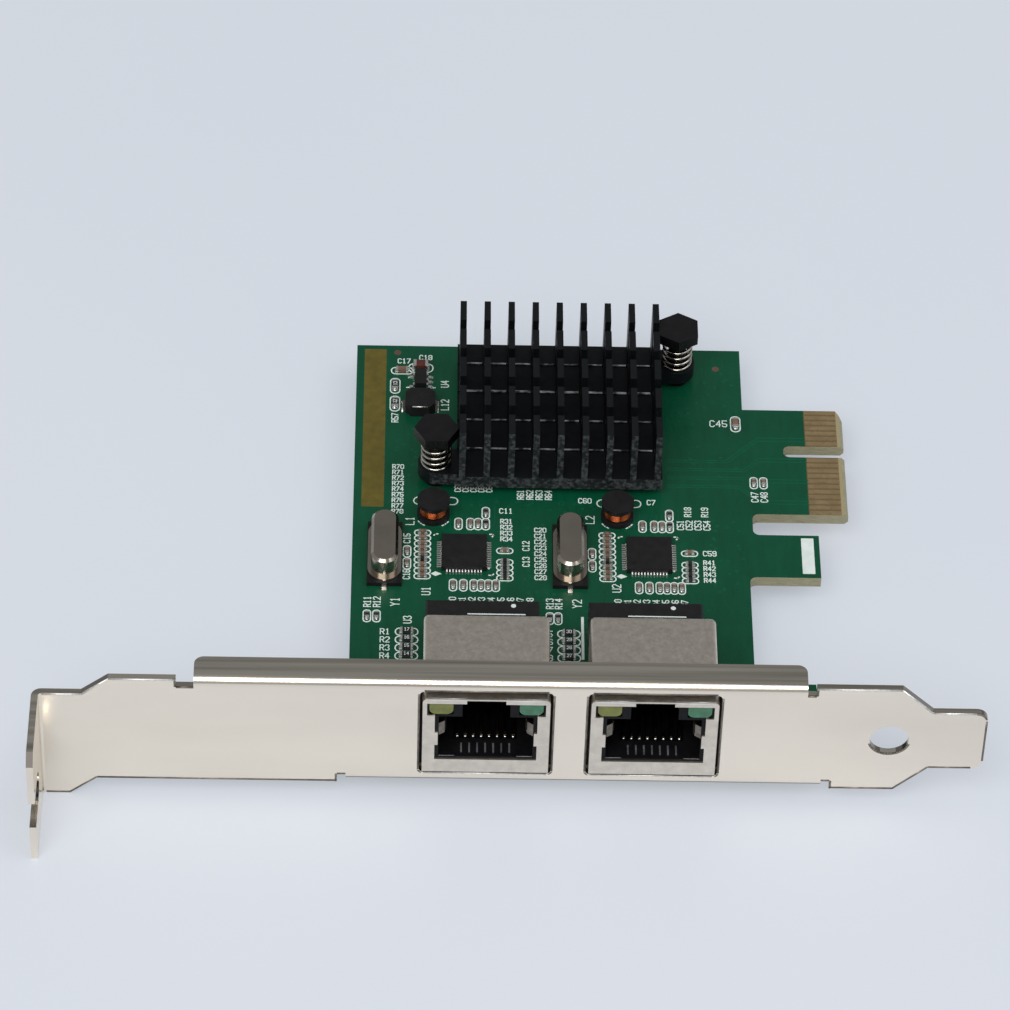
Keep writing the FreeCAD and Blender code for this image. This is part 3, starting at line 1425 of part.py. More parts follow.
def channel_chips(shift):
    """Where one channel's chip parts lie: capacitors first, then resistors."""
    phy = PHY_X + shift
    front = phy - S.front_row_left
    front_y = PHY_Y - S.front_row_before
    front_tail = front + 2 * S.front_row_pitch + S.front_tail_pitch
    back = DRUM_X + shift + S.drum_radius + S.back_row_gap
    back_y = PHY_Y + S.back_row_past
    back_second = back + S.back_row_first_step
    back_last = back_second + 2 * S.back_row_step
    left = CHIP_COLUMN_X + shift
    stack = phy + S.stack_right
    stack_y = PHY_Y - S.stack_before
    stack_end = stack_y + (STACK_CHIPS - 1) * S.stack_pitch
    dark = CHIP_COLUMN_Y + COLUMN_RESISTOR * S.column_pitch
    after = COLUMN_CHIPS - COLUMN_RESISTOR - 1
    capacitors = (
        row(front, front_y, S.front_row_pitch, 3, "Y")
        + row(front_tail, front_y, S.front_tail_pitch, 3, "Y")
        + [(back, back_y, "Y")]
        + row(back_second, back_y, S.back_row_step, 2, "Y")
        + column(left, CHIP_COLUMN_Y, S.column_pitch, COLUMN_RESISTOR, "X")
        + column(left, dark + S.column_pitch, S.column_pitch, after, "X")
        + column(CHIP_PAIR_X + shift, PHY_Y - S.pair_before, S.pair_pitch, 2, "Y")
        + [(stack, stack_end + S.stack_single_past, "X")]
    )
    resistors = (
        [(left, dark, "X"), (back_last, back_y, "Y"), (back_last, back_y + S.back_row_behind, "Y")]
        + column(stack, stack_y, S.stack_pitch, STACK_CHIPS, "X")
    )
    return capacitors, resistors


def make_chips():
    """All the small chip parts, gathered into the four kinds of piece that they are made of."""
    capacitors = []
    resistors = []
    for shift in CHANNELS:
        more_capacitors, more_resistors = channel_chips(shift)
        capacitors += more_capacitors
        resistors += more_resistors
    ahead = TRANSFORMER_FAR + S.ahead_of_transformer
    resistors += row(BOARD_X + S.outer_pair_x, ahead, S.outer_pair_pitch, 2, "Y")
    transformer_right = PORTS[0] + S.transformer_shift + TRANSFORMER_WIDE / 2
    inner_pair = transformer_right + S.inner_pair_past
    resistors += row(inner_pair, ahead, S.inner_pair_pitch, 2, "Y")
    coupling_y = KEY_NEAR - S.coupling_before_key
    capacitors += row(BOARD_RIGHT + S.coupling_out, coupling_y, S.coupling_pitch, 2, "Y")
    side_column = []
    for port in PORTS:
        side_x = port - S.side_column_left
        side_column += column(side_x, S.side_column_y, S.side_column_pitch, SIDE_CHIPS, "X")
    corner_x = CHOKE_X - S.choke_long / 2 - S.corner_column_left
    corner_y = CHOKE_Y + S.corner_column_past
    corner = column(corner_x, corner_y, S.corner_column_pitch, 2, "Y")
    single_x = CHOKE_X - S.input_cap_long / 2 - S.corner_single_gap
    single = (single_x, INPUT_CAP_Y - S.corner_single_before, "X")
    edge = (BOARD_RIGHT - S.edge_cap_inset, EDGE_FAR - S.edge_cap_before, "Y")
    small = (S.chip_long, S.chip_wide, S.chip_high)
    middle = (S.mid_chip_long, S.mid_chip_wide, S.mid_chip_high)
    kinds = (
        ("capacitor", capacitors, [single, edge]),
        ("resistor", resistors, side_column + corner),
    )
    for kind, small_ones, middle_ones in kinds:
        parts = [(where, small) for where in small_ones]
        parts += [(where, middle) for where in middle_ones]
        pieces = []
        all_ends = []
        for number, ((x, y, along), sides) in enumerate(parts, start=1):
            piece, ends = chip_part(f"{kind}_{number}", x, y, along, sides, S.chip_end)
            pieces.append(piece)
            all_ends += ends
        keep(group(f"{kind}_pieces", pieces), f"{kind}_bodies")
        keep(group(f"{kind}_end_caps", all_ends), f"{kind}_ends")


make_bracket()
for side, x in zip(("left", "right"), SCREWS_X):
    make_screw(x, f"bracket_screw_{side}")
make_board()
make_edge_contacts("edge_contacts_top", BOARD_TOP)
make_edge_contacts("edge_contacts_bottom", BOARD_BOTTOM - S.contact_thick)
for number, port in enumerate(PORTS, start=1):
    make_shield(port, f"port_{number}_shield")
    make_housing(port, f"port_{number}_housing")
    make_wires(port, f"port_{number}_contacts")
    make_lamp(port, -1, f"port_{number}_lamp_yellow")
    make_lamp(port, 1, f"port_{number}_lamp_green")
    make_transformer(port, f"transformer_{number}")
for number, shift in enumerate(CHANNELS, start=1):
    make_leadless_chip(PHY_X + shift, PHY_Y, S.phy_side, S.phy_high,
                       PHY_PADS, S.phy_pad_pitch, f"phy_{number}")
    make_crystal(CRYSTAL_X + shift, f"crystal_{number}")
    make_inductor(DRUM_X + shift, f"inductor_{number}")
make_power_parts()
bridge_body = S.bridge_high - S.chip_pad_thick
make_leadless_chip(SINK_X, SINK_Y, S.bridge_side, bridge_body,
                   BRIDGE_PADS, S.bridge_pad_pitch, "bridge_chip")
keep(block_on("thermal_pad_sheet", SINK_X, SINK_Y, BOARD_TOP + S.bridge_high,
              (S.pad_side, S.pad_side, S.pad_high)), "thermal_pad")
make_heatsink()
make_push_pin("near", point_along_x=True)
make_push_pin("far", point_along_x=False)
make_chips()

doc.recompute()
faults = []
for item in doc.Objects:
    if "Invalid" in item.State or "Error" in item.State:
        faults.append(f"{item.Name}: {item.State}")
for item in SUB_PARTS:
    if item.Shape.isNull() or not item.Shape.isValid() or not item.Shape.Solids:
        faults.append(f"{item.Label}: no valid solid")
if faults:
    raise RuntimeError("; ".join(faults))
os.makedirs("parts", exist_ok=True)
for item in SUB_PARTS:
    item.Shape.exportStep(f"parts/{item.Label}.step")
    print(item.Label, len(item.Shape.Solids), round(item.Shape.Volume, 3))
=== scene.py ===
import math
import random

import bmesh
import bpy
from mathutils import Matrix, Vector


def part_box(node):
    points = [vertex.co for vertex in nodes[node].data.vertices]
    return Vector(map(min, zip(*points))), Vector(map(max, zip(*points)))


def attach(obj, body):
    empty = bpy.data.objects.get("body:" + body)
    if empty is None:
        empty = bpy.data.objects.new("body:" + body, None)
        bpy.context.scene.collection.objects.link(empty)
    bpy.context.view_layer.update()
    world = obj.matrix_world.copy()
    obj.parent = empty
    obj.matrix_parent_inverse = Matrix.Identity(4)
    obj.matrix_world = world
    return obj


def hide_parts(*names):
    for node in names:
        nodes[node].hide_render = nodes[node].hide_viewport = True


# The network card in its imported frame: procedural finishes on every part, and the
# fine pieces that sit on the board, such as print, tracks, solder and windings.

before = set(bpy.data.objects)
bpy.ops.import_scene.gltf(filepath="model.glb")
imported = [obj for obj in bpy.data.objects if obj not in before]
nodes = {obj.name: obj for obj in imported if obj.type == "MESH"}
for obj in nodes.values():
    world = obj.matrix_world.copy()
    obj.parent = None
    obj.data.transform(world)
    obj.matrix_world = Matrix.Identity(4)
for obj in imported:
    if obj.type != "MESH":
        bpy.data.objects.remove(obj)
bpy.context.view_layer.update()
MM = 0.001

# The card's own origin: outer face of the screw tab, front face of the plate,
# lowest edge of the bracket. X along the bracket, Y over the board, Z up.
TAB_REACH = 11.3 * MM
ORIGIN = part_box("bracket")[0] + Vector((0, TAB_REACH, 0))
BOARD_BOTTOM, BOARD_TOP = (corner.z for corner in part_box("circuit_board"))


def at(x, y, z=0.0):
    """A place on the card, given in millimetres from the card's own origin."""
    return ORIGIN + Vector((x, y, z)) * MM


# Finishes: every one is made of nodes, with its grain in millimetres

class Finish:
    """A node material under construction."""

    def __init__(self, name, metallic=0.0, **sockets):
        self.material = bpy.data.materials.new(name)
        self.material.use_nodes = True
        self.nodes = self.material.node_tree.nodes
        self.links = self.material.node_tree.links
        self.shader = self.nodes["Principled BSDF"]
        self.set(self.shader, {"Metallic": metallic, **sockets})
        self.place = self.node("ShaderNodeTexCoord").outputs["Object"]

    @staticmethod
    def set(node, sockets):
        for name, value in sockets.items():
            node.inputs[name].default_value = value

    def node(self, kind, sockets=None, **properties):
        item = self.nodes.new(kind)
        for name, value in properties.items():
            setattr(item, name, value)
        self.set(item, sockets or {})
        return item

    def join(self, output, item, socket):
        self.links.new(output, item.inputs[socket])

    def grain(self, per_mm, detail=3.0, stretch=(1, 1, 1)):
        """Noise of a given fineness; a stretch below 1 draws it out along that axis."""
        mapping = self.node("ShaderNodeMapping", {"Scale": [s / MM for s in stretch]})
        self.join(self.place, mapping, "Vector")
        noise = self.node("ShaderNodeTexNoise", {"Scale": per_mm, "Detail": detail})
        self.join(mapping.outputs["Vector"], noise, "Vector")
        return noise.outputs["Fac"]

    def span(self, value, low, high, start=0.3, end=0.7):
        """Spread a value over a range."""
        item = self.node("ShaderNodeMapRange", {
            "From Min": start, "From Max": end, "To Min": low, "To Max": high})
        self.join(value, item, "Value")
        return item.outputs["Result"]

    def blend(self, factor, one, other):
        """Mix two colours; each is a colour or the output of another node."""
        item = self.node("ShaderNodeMix", data_type="RGBA")
        self.join(factor, item, "Factor")
        for socket, colour in (("A", one), ("B", other)):
            target = next(s for s in item.inputs if s.name == socket and s.type == "RGBA")
            if isinstance(colour, tuple):
                target.default_value = (*colour, 1)
            else:
                self.links.new(colour, target)
        return next(s for s in item.outputs if s.type == "RGBA")

    def by_axis(self, vector):
        parts = self.node("ShaderNodeSeparateXYZ")
        self.join(vector, parts, "Vector")
        return parts.outputs

    def normal(self):
        """The outward direction of the face, by axis."""
        return self.by_axis(self.node("ShaderNodeNewGeometry").outputs["Normal"])

    def where(self):
        """The place on the card, by axis."""
        return self.by_axis(self.place)

    def colour(self, output):
        self.join(output, self.shader, "Base Color")

    def roughen(self, low, high, **grain):
        self.join(self.span(self.grain(**grain), low, high), self.shader, "Roughness")

    def bump(self, strength, depth_mm, **grain):
        item = self.node("ShaderNodeBump", {"Strength": strength, "Distance": depth_mm * MM})
        self.join(self.grain(**grain), item, "Height")
        self.join(item.outputs["Normal"], self.shader, "Normal")

    def calculate(self, operation, *values):
        """One step of arithmetic; each value is a number or the output of another node."""
        item = self.node("ShaderNodeMath", operation=operation)
        for socket, value in enumerate(values):
            if isinstance(value, float):
                item.inputs[socket].default_value = value
            else:
                self.join(value, item, socket)
        return item.outputs[0]

    def above(self, value, limit):
        return self.calculate("GREATER_THAN", value, limit)

    def below(self, value, limit):
        return self.calculate("LESS_THAN", value, limit)

    def both(self, one, other):
        return self.calculate("MULTIPLY", one, other)

    def mottle(self, one, other, per_mm, **grain):
        """Clouds of two colours."""
        return self.blend(self.span(self.grain(per_mm, **grain), 0, 1), one, other)


# Less mirror than plain plastic
DULL = {"Specular IOR Level": 0.3}


def plated(name, light, dark, smooth, dull, grain=0.5, stretch=(1, 1, 1), pits=0.0):
    """Plated sheet or wire: cloudy tint, cloudy gloss and a faint tooth."""
    finish = Finish(name, metallic=1.0)
    finish.colour(finish.mottle(dark, light, grain, stretch=stretch))
    finish.roughen(smooth, dull, per_mm=grain * 3, stretch=stretch)
    finish.bump(0.12 + pits, 0.02, per_mm=14, detail=2)
    return finish.material


def bracket_plate():
    """Bright plate with rolling streaks; flat faces, slanted faces, the tab's front-up rounding and downward
    faces carry painted shade.
    """
    finish = Finish("nickel_plate", metallic=1.0)
    leaning, steep, flat = 0.3, 0.4, 0.9
    bright = finish.mottle((0.84, 0.76, 0.65), (0.92, 0.84, 0.72), 0.08, stretch=(0.3, 1, 1))
    streaks = finish.span(finish.grain(0.9, detail=4, stretch=(0.015, 1, 1)), 0, 1, 0.36, 0.64)
    dull = finish.blend(streaks, (0.44, 0.40, 0.34), (0.78, 0.73, 0.63))
    normal = finish.normal()
    sideways = finish.calculate("ABSOLUTE", normal["X"])
    upward = finish.above(normal["Z"], leaning)
    # Flat faces take the streaks, which are the plate's own; their darker tone there is painted shade.
    shown = finish.blend(finish.above(normal["Z"], flat), bright, dull)
    # Painted shade on slanted faces that face up.
    painted_shade_slope = finish.both(finish.above(sideways, steep), upward)
    shown = finish.blend(painted_shade_slope, shown, (0.30, 0.27, 0.23))
    # Painted shade, near black, on the tab's rounding that faces front and up.
    on_tab = finish.both(finish.below(finish.where()["Y"], at(0, -1).y),
                         finish.below(sideways, leaning))
    rounding = finish.both(finish.below(normal["Y"], -leaning), upward)
    shown = finish.blend(finish.both(on_tab, rounding), shown, (0.06, 0.055, 0.05))
    # Painted shade on faces that look down.
    painted_shade_underside = finish.below(normal["Z"], -leaning)
    finish.colour(finish.blend(painted_shade_underside, shown, (0.22, 0.20, 0.17)))
    finish.roughen(0.15, 0.25, per_mm=0.3, stretch=(0.1, 1, 1))
    finish.bump(0.10, 0.02, per_mm=1.1, detail=3, stretch=(0.03, 1, 1))
    return finish.material


def contact_wire():
    """Gold at the bend that shows in the mouth of a jack, with painted shade, near black, further in."""
    finish = Finish("jack_contact_gold", metallic=1.0)
    bend_end = at(0, 3.45).y
    inside = finish.above(finish.where()["Y"], bend_end)
    # Painted shade: near black beyond the bend, deeper in the jack.
    finish.colour(finish.blend(inside, (0.74, 0.62, 0.42), (0.05, 0.042, 0.03)))
    finish.roughen(0.10, 0.20, per_mm=0.9)
    return finish.material


def moulded(name, light, dark, smooth, dull, tooth=9.0, depth=0.02, **sockets):
    """Moulded plastic or ceramic: slight mottling over a fine tooth."""
    finish = Finish(name, **sockets)
    finish.colour(finish.mottle(dark, light, 0.8))
    finish.roughen(smooth, dull, per_mm=2.5)
    finish.bump(0.25, depth, per_mm=tooth, detail=2)
    return finish.material


def solder_mask():
    """Green mask on the faces, bare laminate on the edges and between the edge contacts."""
    finish = Finish("solder_mask", **DULL)
    green = finish.mottle((0.0015, 0.060, 0.026), (0.002, 0.074, 0.034), 0.18, detail=5)
    weave = finish.span(finish.grain(1.4, detail=1, stretch=(1, 0.15, 1)), 0, 0.35)
    green = finish.blend(weave, green, (0.003, 0.090, 0.044))
    laminate = finish.mottle((0.23, 0.22, 0.14), (0.43, 0.40, 0.26), 3, stretch=(0.2, 0.2, 6))
    where = finish.where()
    contacts_low, contacts_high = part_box("edge_contacts_top")
    clear_x, clear_y = 0.1 * MM, 0.6 * MM
    unmasked = finish.both(finish.above(where["X"], contacts_low.x - clear_x),
                           finish.above(where["Y"], contacts_low.y - clear_y))
    beyond = finish.above(where["X"], contacts_high.x)
    bare = finish.blend(beyond, (0.15, 0.108, 0.05), (0.36, 0.30, 0.17))
    level = 0.97
    sawn = finish.below(finish.calculate("ABSOLUTE", finish.normal()["Z"]), level)
    finish.colour(finish.blend(sawn, finish.blend(unmasked, green, bare), laminate))
    finish.roughen(0.24, 0.36, per_mm=1.2)
    finish.bump(0.10, 0.02, per_mm=2.2, detail=4)
    return finish.material


def anodised():
    """Black anodised aluminium, greyer where the front row of fins was sawn."""
    finish = Finish("black_anodised", metallic=0.2, **{"Specular IOR Level": 0.35})
    scuffs = finish.span(finish.grain(1.1, detail=8), 0, 0.5, 0.62, 0.8)
    black = finish.blend(scuffs, (0.003, 0.004, 0.006), (0.020, 0.022, 0.027))
    facing, row_depth = -0.7, 0.6 * MM
    front = finish.below(finish.normal()["Y"], facing)
    near = finish.below(finish.where()["Y"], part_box("heatsink")[0].y + row_depth)
    speckle = finish.span(finish.grain(2.0, detail=8), 0, 1, 0.44, 0.64)
    sawn = finish.blend(speckle, (0.012, 0.016, 0.017), (0.085, 0.092, 0.098))
    finish.colour(finish.blend(finish.both(front, near), black, sawn))
    finish.roughen(0.38, 0.55, per_mm=0.9)
    finish.bump(0.3, 0.04, per_mm=2.5, detail=4, stretch=(1, 1, 0.25))
    return finish.material


def scuffed():
    """Worn edges, where bare aluminium shows through the black in short dashes."""
    finish = Finish("scuffed_edge", metallic=0.3)
    dashes = finish.span(finish.grain(1.7, detail=5, stretch=(0.5, 1, 1)), 0, 1, 0.40, 0.62)
    finish.colour(finish.blend(dashes, (0.03, 0.03, 0.035), (0.62, 0.64, 0.68)))
    finish.roughen(0.25, 0.4, per_mm=4)
    return finish.material


def lamp(name, light, dark):
    """Clear tinted plastic over a dim lamp."""
    finish = Finish(name, **{"Transmission Weight": 0.35, "IOR": 1.5, "Coat Weight": 0.4,
                             "Coat Roughness": 0.1})
    finish.colour(finish.mottle(dark, light, 0.9))
    finish.roughen(0.14, 0.26, per_mm=2.0)
    finish.bump(0.15, 0.03, per_mm=1.6)
    return finish.material


FINISHES = {
    "nickel": bracket_plate(),
    "zinc": plated("zinc_screw", (0.70, 0.69, 0.66), (0.60, 0.59, 0.56), 0.22, 0.34),
    "gold": plated("contact_gold", (0.80, 0.60, 0.34), (0.62, 0.45, 0.24), 0.24, 0.40),
    "pin_gold": contact_wire(),
    "shield": plated("shield_plate", (0.78, 0.71, 0.62), (0.66, 0.60, 0.52), 0.32, 0.46, 0.9, pits=0.45),
    "tin": plated("tinned_lead", (0.90, 0.88, 0.85), (0.76, 0.74, 0.71), 0.24, 0.40, 1.2),
    "can": plated("crystal_can", (0.44, 0.39, 0.33), (0.37, 0.33, 0.28), 0.14, 0.24, 0.3),
    "spring": plated("spring_wire", (0.62, 0.58, 0.52), (0.40, 0.37, 0.33), 0.08, 0.16, 0.8),
    "copper": plated("enamelled_copper", (0.66, 0.17, 0.05), (0.26, 0.06, 0.02), 0.10, 0.18, 0.9),
    "solder": plated("solder", (0.93, 0.91, 0.89), (0.80, 0.78, 0.76), 0.26, 0.44, 1.5),
    "bare": plated("bare_copper_dot", (0.40, 0.26, 0.19), (0.30, 0.20, 0.15), 0.34, 0.48, 2.0),
    # Near-white copies of gold and shield steel for the bends: painted highlights.
    "bend_highlight_gold": plated("polished_gold", (1.0, 0.98, 0.93), (0.95, 0.92, 0.85), 0.22, 0.32, 1.5),
    "bend_highlight_steel": plated("polished_steel", (0.97, 0.94, 0.89), (0.80, 0.77, 0.72), 0.26, 0.40, 0.8),
    # Dark steel as painted shade: on plate edges, the latch fingers and the inductor's terminals.
    "sheared": plated("sheared_steel", (0.30, 0.27, 0.23), (0.16, 0.14, 0.12), 0.34, 0.50, 1.2),
    # Near-white metal for edge beads that are painted highlights.
    "highlight_metal": plated("burnished_edge", (1.0, 0.97, 0.93), (0.74, 0.71, 0.66), 0.36, 0.50, 2.2),
    "mask": solder_mask(),
    "jack": moulded("jack_moulding", (0.006, 0.006, 0.007), (0.003, 0.003, 0.004), 0.45, 0.60,
                    **{"Specular IOR Level": 0.15}),
    # Grey moulding for the comb teeth; on the lips its light grey is a painted highlight.
    "comb": moulded("glossy_moulding", (0.15, 0.15, 0.16), (0.06, 0.06, 0.07), 0.22, 0.34),
    "black": moulded("moulded_base", (0.010, 0.010, 0.011), (0.006, 0.006, 0.007), 0.34, 0.46, **DULL),
    "chip": moulded("chip_moulding", (0.013, 0.013, 0.014), (0.008, 0.008, 0.009), 0.42, 0.58, **DULL),
    "ferrite": moulded("ferrite", (0.012, 0.012, 0.013), (0.006, 0.006, 0.007), 0.45, 0.62, 5, 0.03, **DULL),
    "pin": moulded("pin_moulding", (0.007, 0.007, 0.008), (0.004, 0.004, 0.005), 0.26, 0.38, **DULL),
    "tan": moulded("tan_ceramic", (0.25, 0.15, 0.10), (0.14, 0.085, 0.06), 0.35, 0.5),
    "red": moulded("red_ceramic", (0.12, 0.036, 0.028), (0.07, 0.022, 0.018), 0.35, 0.5, **DULL),
    "film": moulded("black_film", (0.020, 0.020, 0.022), (0.010, 0.010, 0.011), 0.28, 0.42),
    "rubber": moulded("thermal_sheet", (0.42, 0.44, 0.47), (0.36, 0.38, 0.41), 0.7, 0.85),
    "anodised": anodised(),
    "scuff": scuffed(),
    "yellow": lamp("yellow_lamp", (0.26, 0.28, 0.035), (0.17, 0.19, 0.02)),
    "green": lamp("green_lamp", (0.05, 0.26, 0.12), (0.03, 0.17, 0.08)),
    "print": moulded("white_print", (0.80, 0.88, 0.85), (0.68, 0.78, 0.74), 0.45, 0.6, 6, 0.01),
    "track": moulded("masked_track", (0.004, 0.104, 0.052), (0.003, 0.084, 0.042), 0.26, 0.36, 3, 0.01,
                     **DULL),
    "band": moulded("olive_band", (0.145, 0.115, 0.022), (0.105, 0.085, 0.016), 0.30, 0.42, 4, 0.01, **DULL),
}

CAD_FINISH = {
    "bracket": "nickel", "bracket_screw": "zinc", "circuit_board": "mask",
    "_shield": "shield", "_housing": "jack", "_contacts": "pin_gold",
    "_lamp_yellow": "yellow", "_lamp_green": "green", "transformer": "chip", "crystal": "black",
    "_leads": "tin", "phy_": "chip", "_pads": "tin", "_can": "can", "_core": "ferrite",
    "_winding": "copper", "power_inductor": "ferrite", "_terminals": "tin",
    "regulator_body": "chip", "input_capacitor_body": "red", "_ends": "tin",
    "bridge_chip": "chip", "thermal_pad": "rubber", "heatsink": "anodised",
    "edge_contacts": "gold", "push_pin": "pin", "pin_spring": "spring", "capacitor_bodies": "tan",
    # The shielded inductor's terminals take the dark steel: painted shade.
    "resistor_bodies": "film", "power_inductor_terminals": "sheared",
}


def dress(node):
    """Give a CAD node the finish whose key is in its name; the last that fits wins."""
    fitting = [finish for key, finish in CAD_FINISH.items() if key in node.name]
    node.data.materials.clear()
    node.data.materials.append(FINISHES[fitting[-1]])


for item in nodes.values():
    dress(item)


# Mesh helpers

def add_object(name, data):
    item = bpy.data.objects.new(name, data)
    bpy.context.scene.collection.objects.link(item)
    return item


def mount(name, data, finish, smooth):
    """Put a mesh on the card as a piece, with its finish."""
    for face in data.polygons:
        face.use_smooth = smooth
    data.materials.clear()
    data.materials.append(FINISHES[finish])
    item = add_object(name, data)
    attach(item, "root")
    return item


def piece(name, mesh, finish, smooth=False):
    """A new object on the card from a bmesh."""
    bmesh.ops.recalc_face_normals(mesh, faces=mesh.faces)
    data = bpy.data.meshes.new(name)
    mesh.to_mesh(data)
    mesh.free()
    mount(name, data, finish, smooth)


def band(mesh, one, other):
    """Faces between two rings of as many points."""
    for i in range(len(one)):
        j = (i + 1) % len(one)
        mesh.faces.new((one[i], one[j], other[j], other[i]))


def tube(mesh, rings):
    """Bands from ring to ring, with a face over each end."""
    for one, following in zip(rings, rings[1:]):
        band(mesh, one, following)
    mesh.faces.new(rings[0])
    mesh.faces.new(rings[-1])


def prism(mesh, outline, low, high, hole=None):
    """A flat-topped prism over an outline, with a hole of as many points if one is given."""
    outer = [[mesh.verts.new((p[0], p[1], z)) for p in outline] for z in (low, high)]
    if hole is None:
        tube(mesh, outer)
        return
    inner = [[mesh.verts.new((p[0], p[1], z)) for p in hole] for z in (low, high)]
    band(mesh, *outer)
    band(mesh, *inner)
    for one, other in zip(outer, inner):
        band(mesh, one, other)


def circle(radius, segments):
    """Points round a flat circle about the origin."""
    turns = [2 * math.pi * i / segments for i in range(segments)]
    return [Vector((radius * math.cos(turn), radius * math.sin(turn), 0)) for turn in turns]


def bead(mesh, start, end, radius, segments=10):
    """A thin round bar between two places."""
    turn = (end - start).to_track_quat("Z", "Y")
    tube(mesh, [[mesh.verts.new(place + turn @ point) for point in circle(radius, segments)]
                for place in (start, end)])


def bar(mesh, start_x, end_x, y, z, radius):
    """A bead that runs along X."""
    bead(mesh, Vector((start_x, y, z)), Vector((end_x, y, z)), radius)


def rounded(centre, half_x, half_y, radius, steps=5):
    """The outline of a rectangle with round corners."""
    points = []
    for quarter in range(4):
        start = quarter * math.pi / 2
        corner_x = (half_x - radius) * (1 if quarter in (0, 3) else -1)
        corner_y = (half_y - radius) * (1 if quarter in (0, 1) else -1)
        for step in range(steps + 1):
            angle = start + step / steps * math.pi / 2
            points.append((centre[0] + corner_x + radius * math.cos(angle),
                           centre[1] + corner_y + radius * math.sin(angle)))
    return points


def disc(centre, radius, steps=5, flat=0.001 * MM):
    """The outline of a dot; its four sides keep a short flat."""
    return rounded(centre, radius, radius, radius - flat, steps)


def welded(name):
    """A CAD node as a bmesh, with the points that lie together joined."""
    mesh = bmesh.new()
    mesh.from_mesh(nodes[name].data)
    bmesh.ops.remove_doubles(mesh, verts=mesh.verts, dist=0.002 * MM)
    return mesh


def extent(points):
    low = Vector([min(p[i] for p in points) for i in range(3)])
    high = Vector([max(p[i] for p in points) for i in range(3)])
    return low, high


def lumps(name):
    """The separate solids of a CAD node, each as its corner points."""
    mesh = welded(name)
    left = set(mesh.verts)
    found = []
    while left:
        pile = [left.pop()]
        points = []
        while pile:
            vert = pile.pop()
            points.append(vert.co.copy())
            for edge in vert.link_edges:
                other = edge.other_vert(vert)
                if other in left:
                    left.remove(other)
                    pile.append(other)
        found.append(points)
    mesh.free()
    return sorted(found, key=lambda points: tuple(round(v, 6) for v in extent(points)[0]))


def solids(name):
    """The low and the high corner of each separate solid of a CAD node."""
    return [extent(points) for points in lumps(name)]


def chip_solids(part):
    """The same for the bodies or ends of every chip capacitor and resistor."""
    return solids(f"capacitor_{part}") + solids(f"resistor_{part}")


def tails(name):
    """Where a node's pins come out under the board: the middle of each lowest end."""
    end_depth, pin_width = 0.05 * MM, 0.9 * MM
    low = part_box(name)[0].z
    feet = []
    for vert in nodes[name].data.vertices:
        if vert.co.z > low + end_depth:
            continue
        for foot in feet:
            if (foot[0] - vert.co).length < pin_width:
                foot.append(vert.co.copy())
                break
        else:
            feet.append([vert.co.copy()])
    return [sum(foot, Vector()) / len(foot) for foot in feet]


# White print: outlines round the parts, pin marks and plain part numbers

PRINT_RISE = 0.02 * MM
PRINT_STEP = 0.0008 * MM
PRINT_WIDE = 0.17 * MM
MARK_WIDE = 0.2 * MM
CHANNEL_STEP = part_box("phy_2")[0].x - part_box("phy_1")[0].x


def print_rise(number):
    """The height of one stroke or ring; four that meet lie a hair apart."""
    return PRINT_RISE + PRINT_STEP * (number % 4)


def on_board(mesh, outline, rise=PRINT_RISE, hole=None):
    """A thin flat shape that lies on the board."""
    prism(mesh, outline, BOARD_TOP, BOARD_TOP + rise, hole)


def outline_ring(mesh, centre, half_x, half_y, radius, rise):
    """A printed line of even width whose inner edge is a round-cornered rectangle."""
    inner = rounded(centre, half_x, half_y, radius)
    outer = rounded(centre, half_x + PRINT_WIDE, half_y + PRINT_WIDE, radius + PRINT_WIDE)
    on_board(mesh, outer, rise, inner)


def print_rings():
    """A ring round every chip part, wider at the ends, and most round the larger parts."""
    mesh = bmesh.new()
    side_gap, end_gap, large_end_gap, large = 0.13 * MM, 0.48 * MM, 0.58 * MM, 1.3 * MM
    near_share, round_share = 1.2, 0.92
    ends = chip_solids("ends")
    parts = []
    for low, high in chip_solids("bodies"):
        middle = (low + high) / 2
        reach = near_share * max(high.x - low.x, high.y - low.y)
        near = [end for end in ends if ((end[0] + end[1]) / 2 - middle).length < reach]
        parts.append(extent([low, high] + [corner for end in near for corner in end]))
    parts.append(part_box("input_capacitor_ends"))
    for number, (low, high) in enumerate(parts):
        size = high - low
        along = 0 if size.x > size.y else 1
        clear = Vector((side_gap, side_gap, 0))
        clear[along] = end_gap if size[along] < large else large_end_gap
        half = size / 2 + clear
        outline_ring(mesh, (low + high) / 2, half.x, half.y, min(half.x, half.y) * round_share,
                     print_rise(number))
    piece("print_chip_rings", mesh, "print")


def print_line(mesh, start, end, wide=PRINT_WIDE, low=BOARD_TOP, rise=PRINT_RISE):
    """One straight printed stroke, a little longer than its two points."""
    start, end = Vector(start[:2]), Vector(end[:2])
    heading = (end - start).normalized()
    across = Vector((-heading.y, heading.x)) * wide / 2
    overrun = heading * wide * 0.4
    start, end = start - overrun, end + overrun
    prism(mesh, [start + across, end + across, end - across, start - across], low, low + rise)


def print_path(mesh, points, wide=PRINT_WIDE):
    for one, following in zip(points, points[1:]):
        print_line(mesh, one, following, wide)


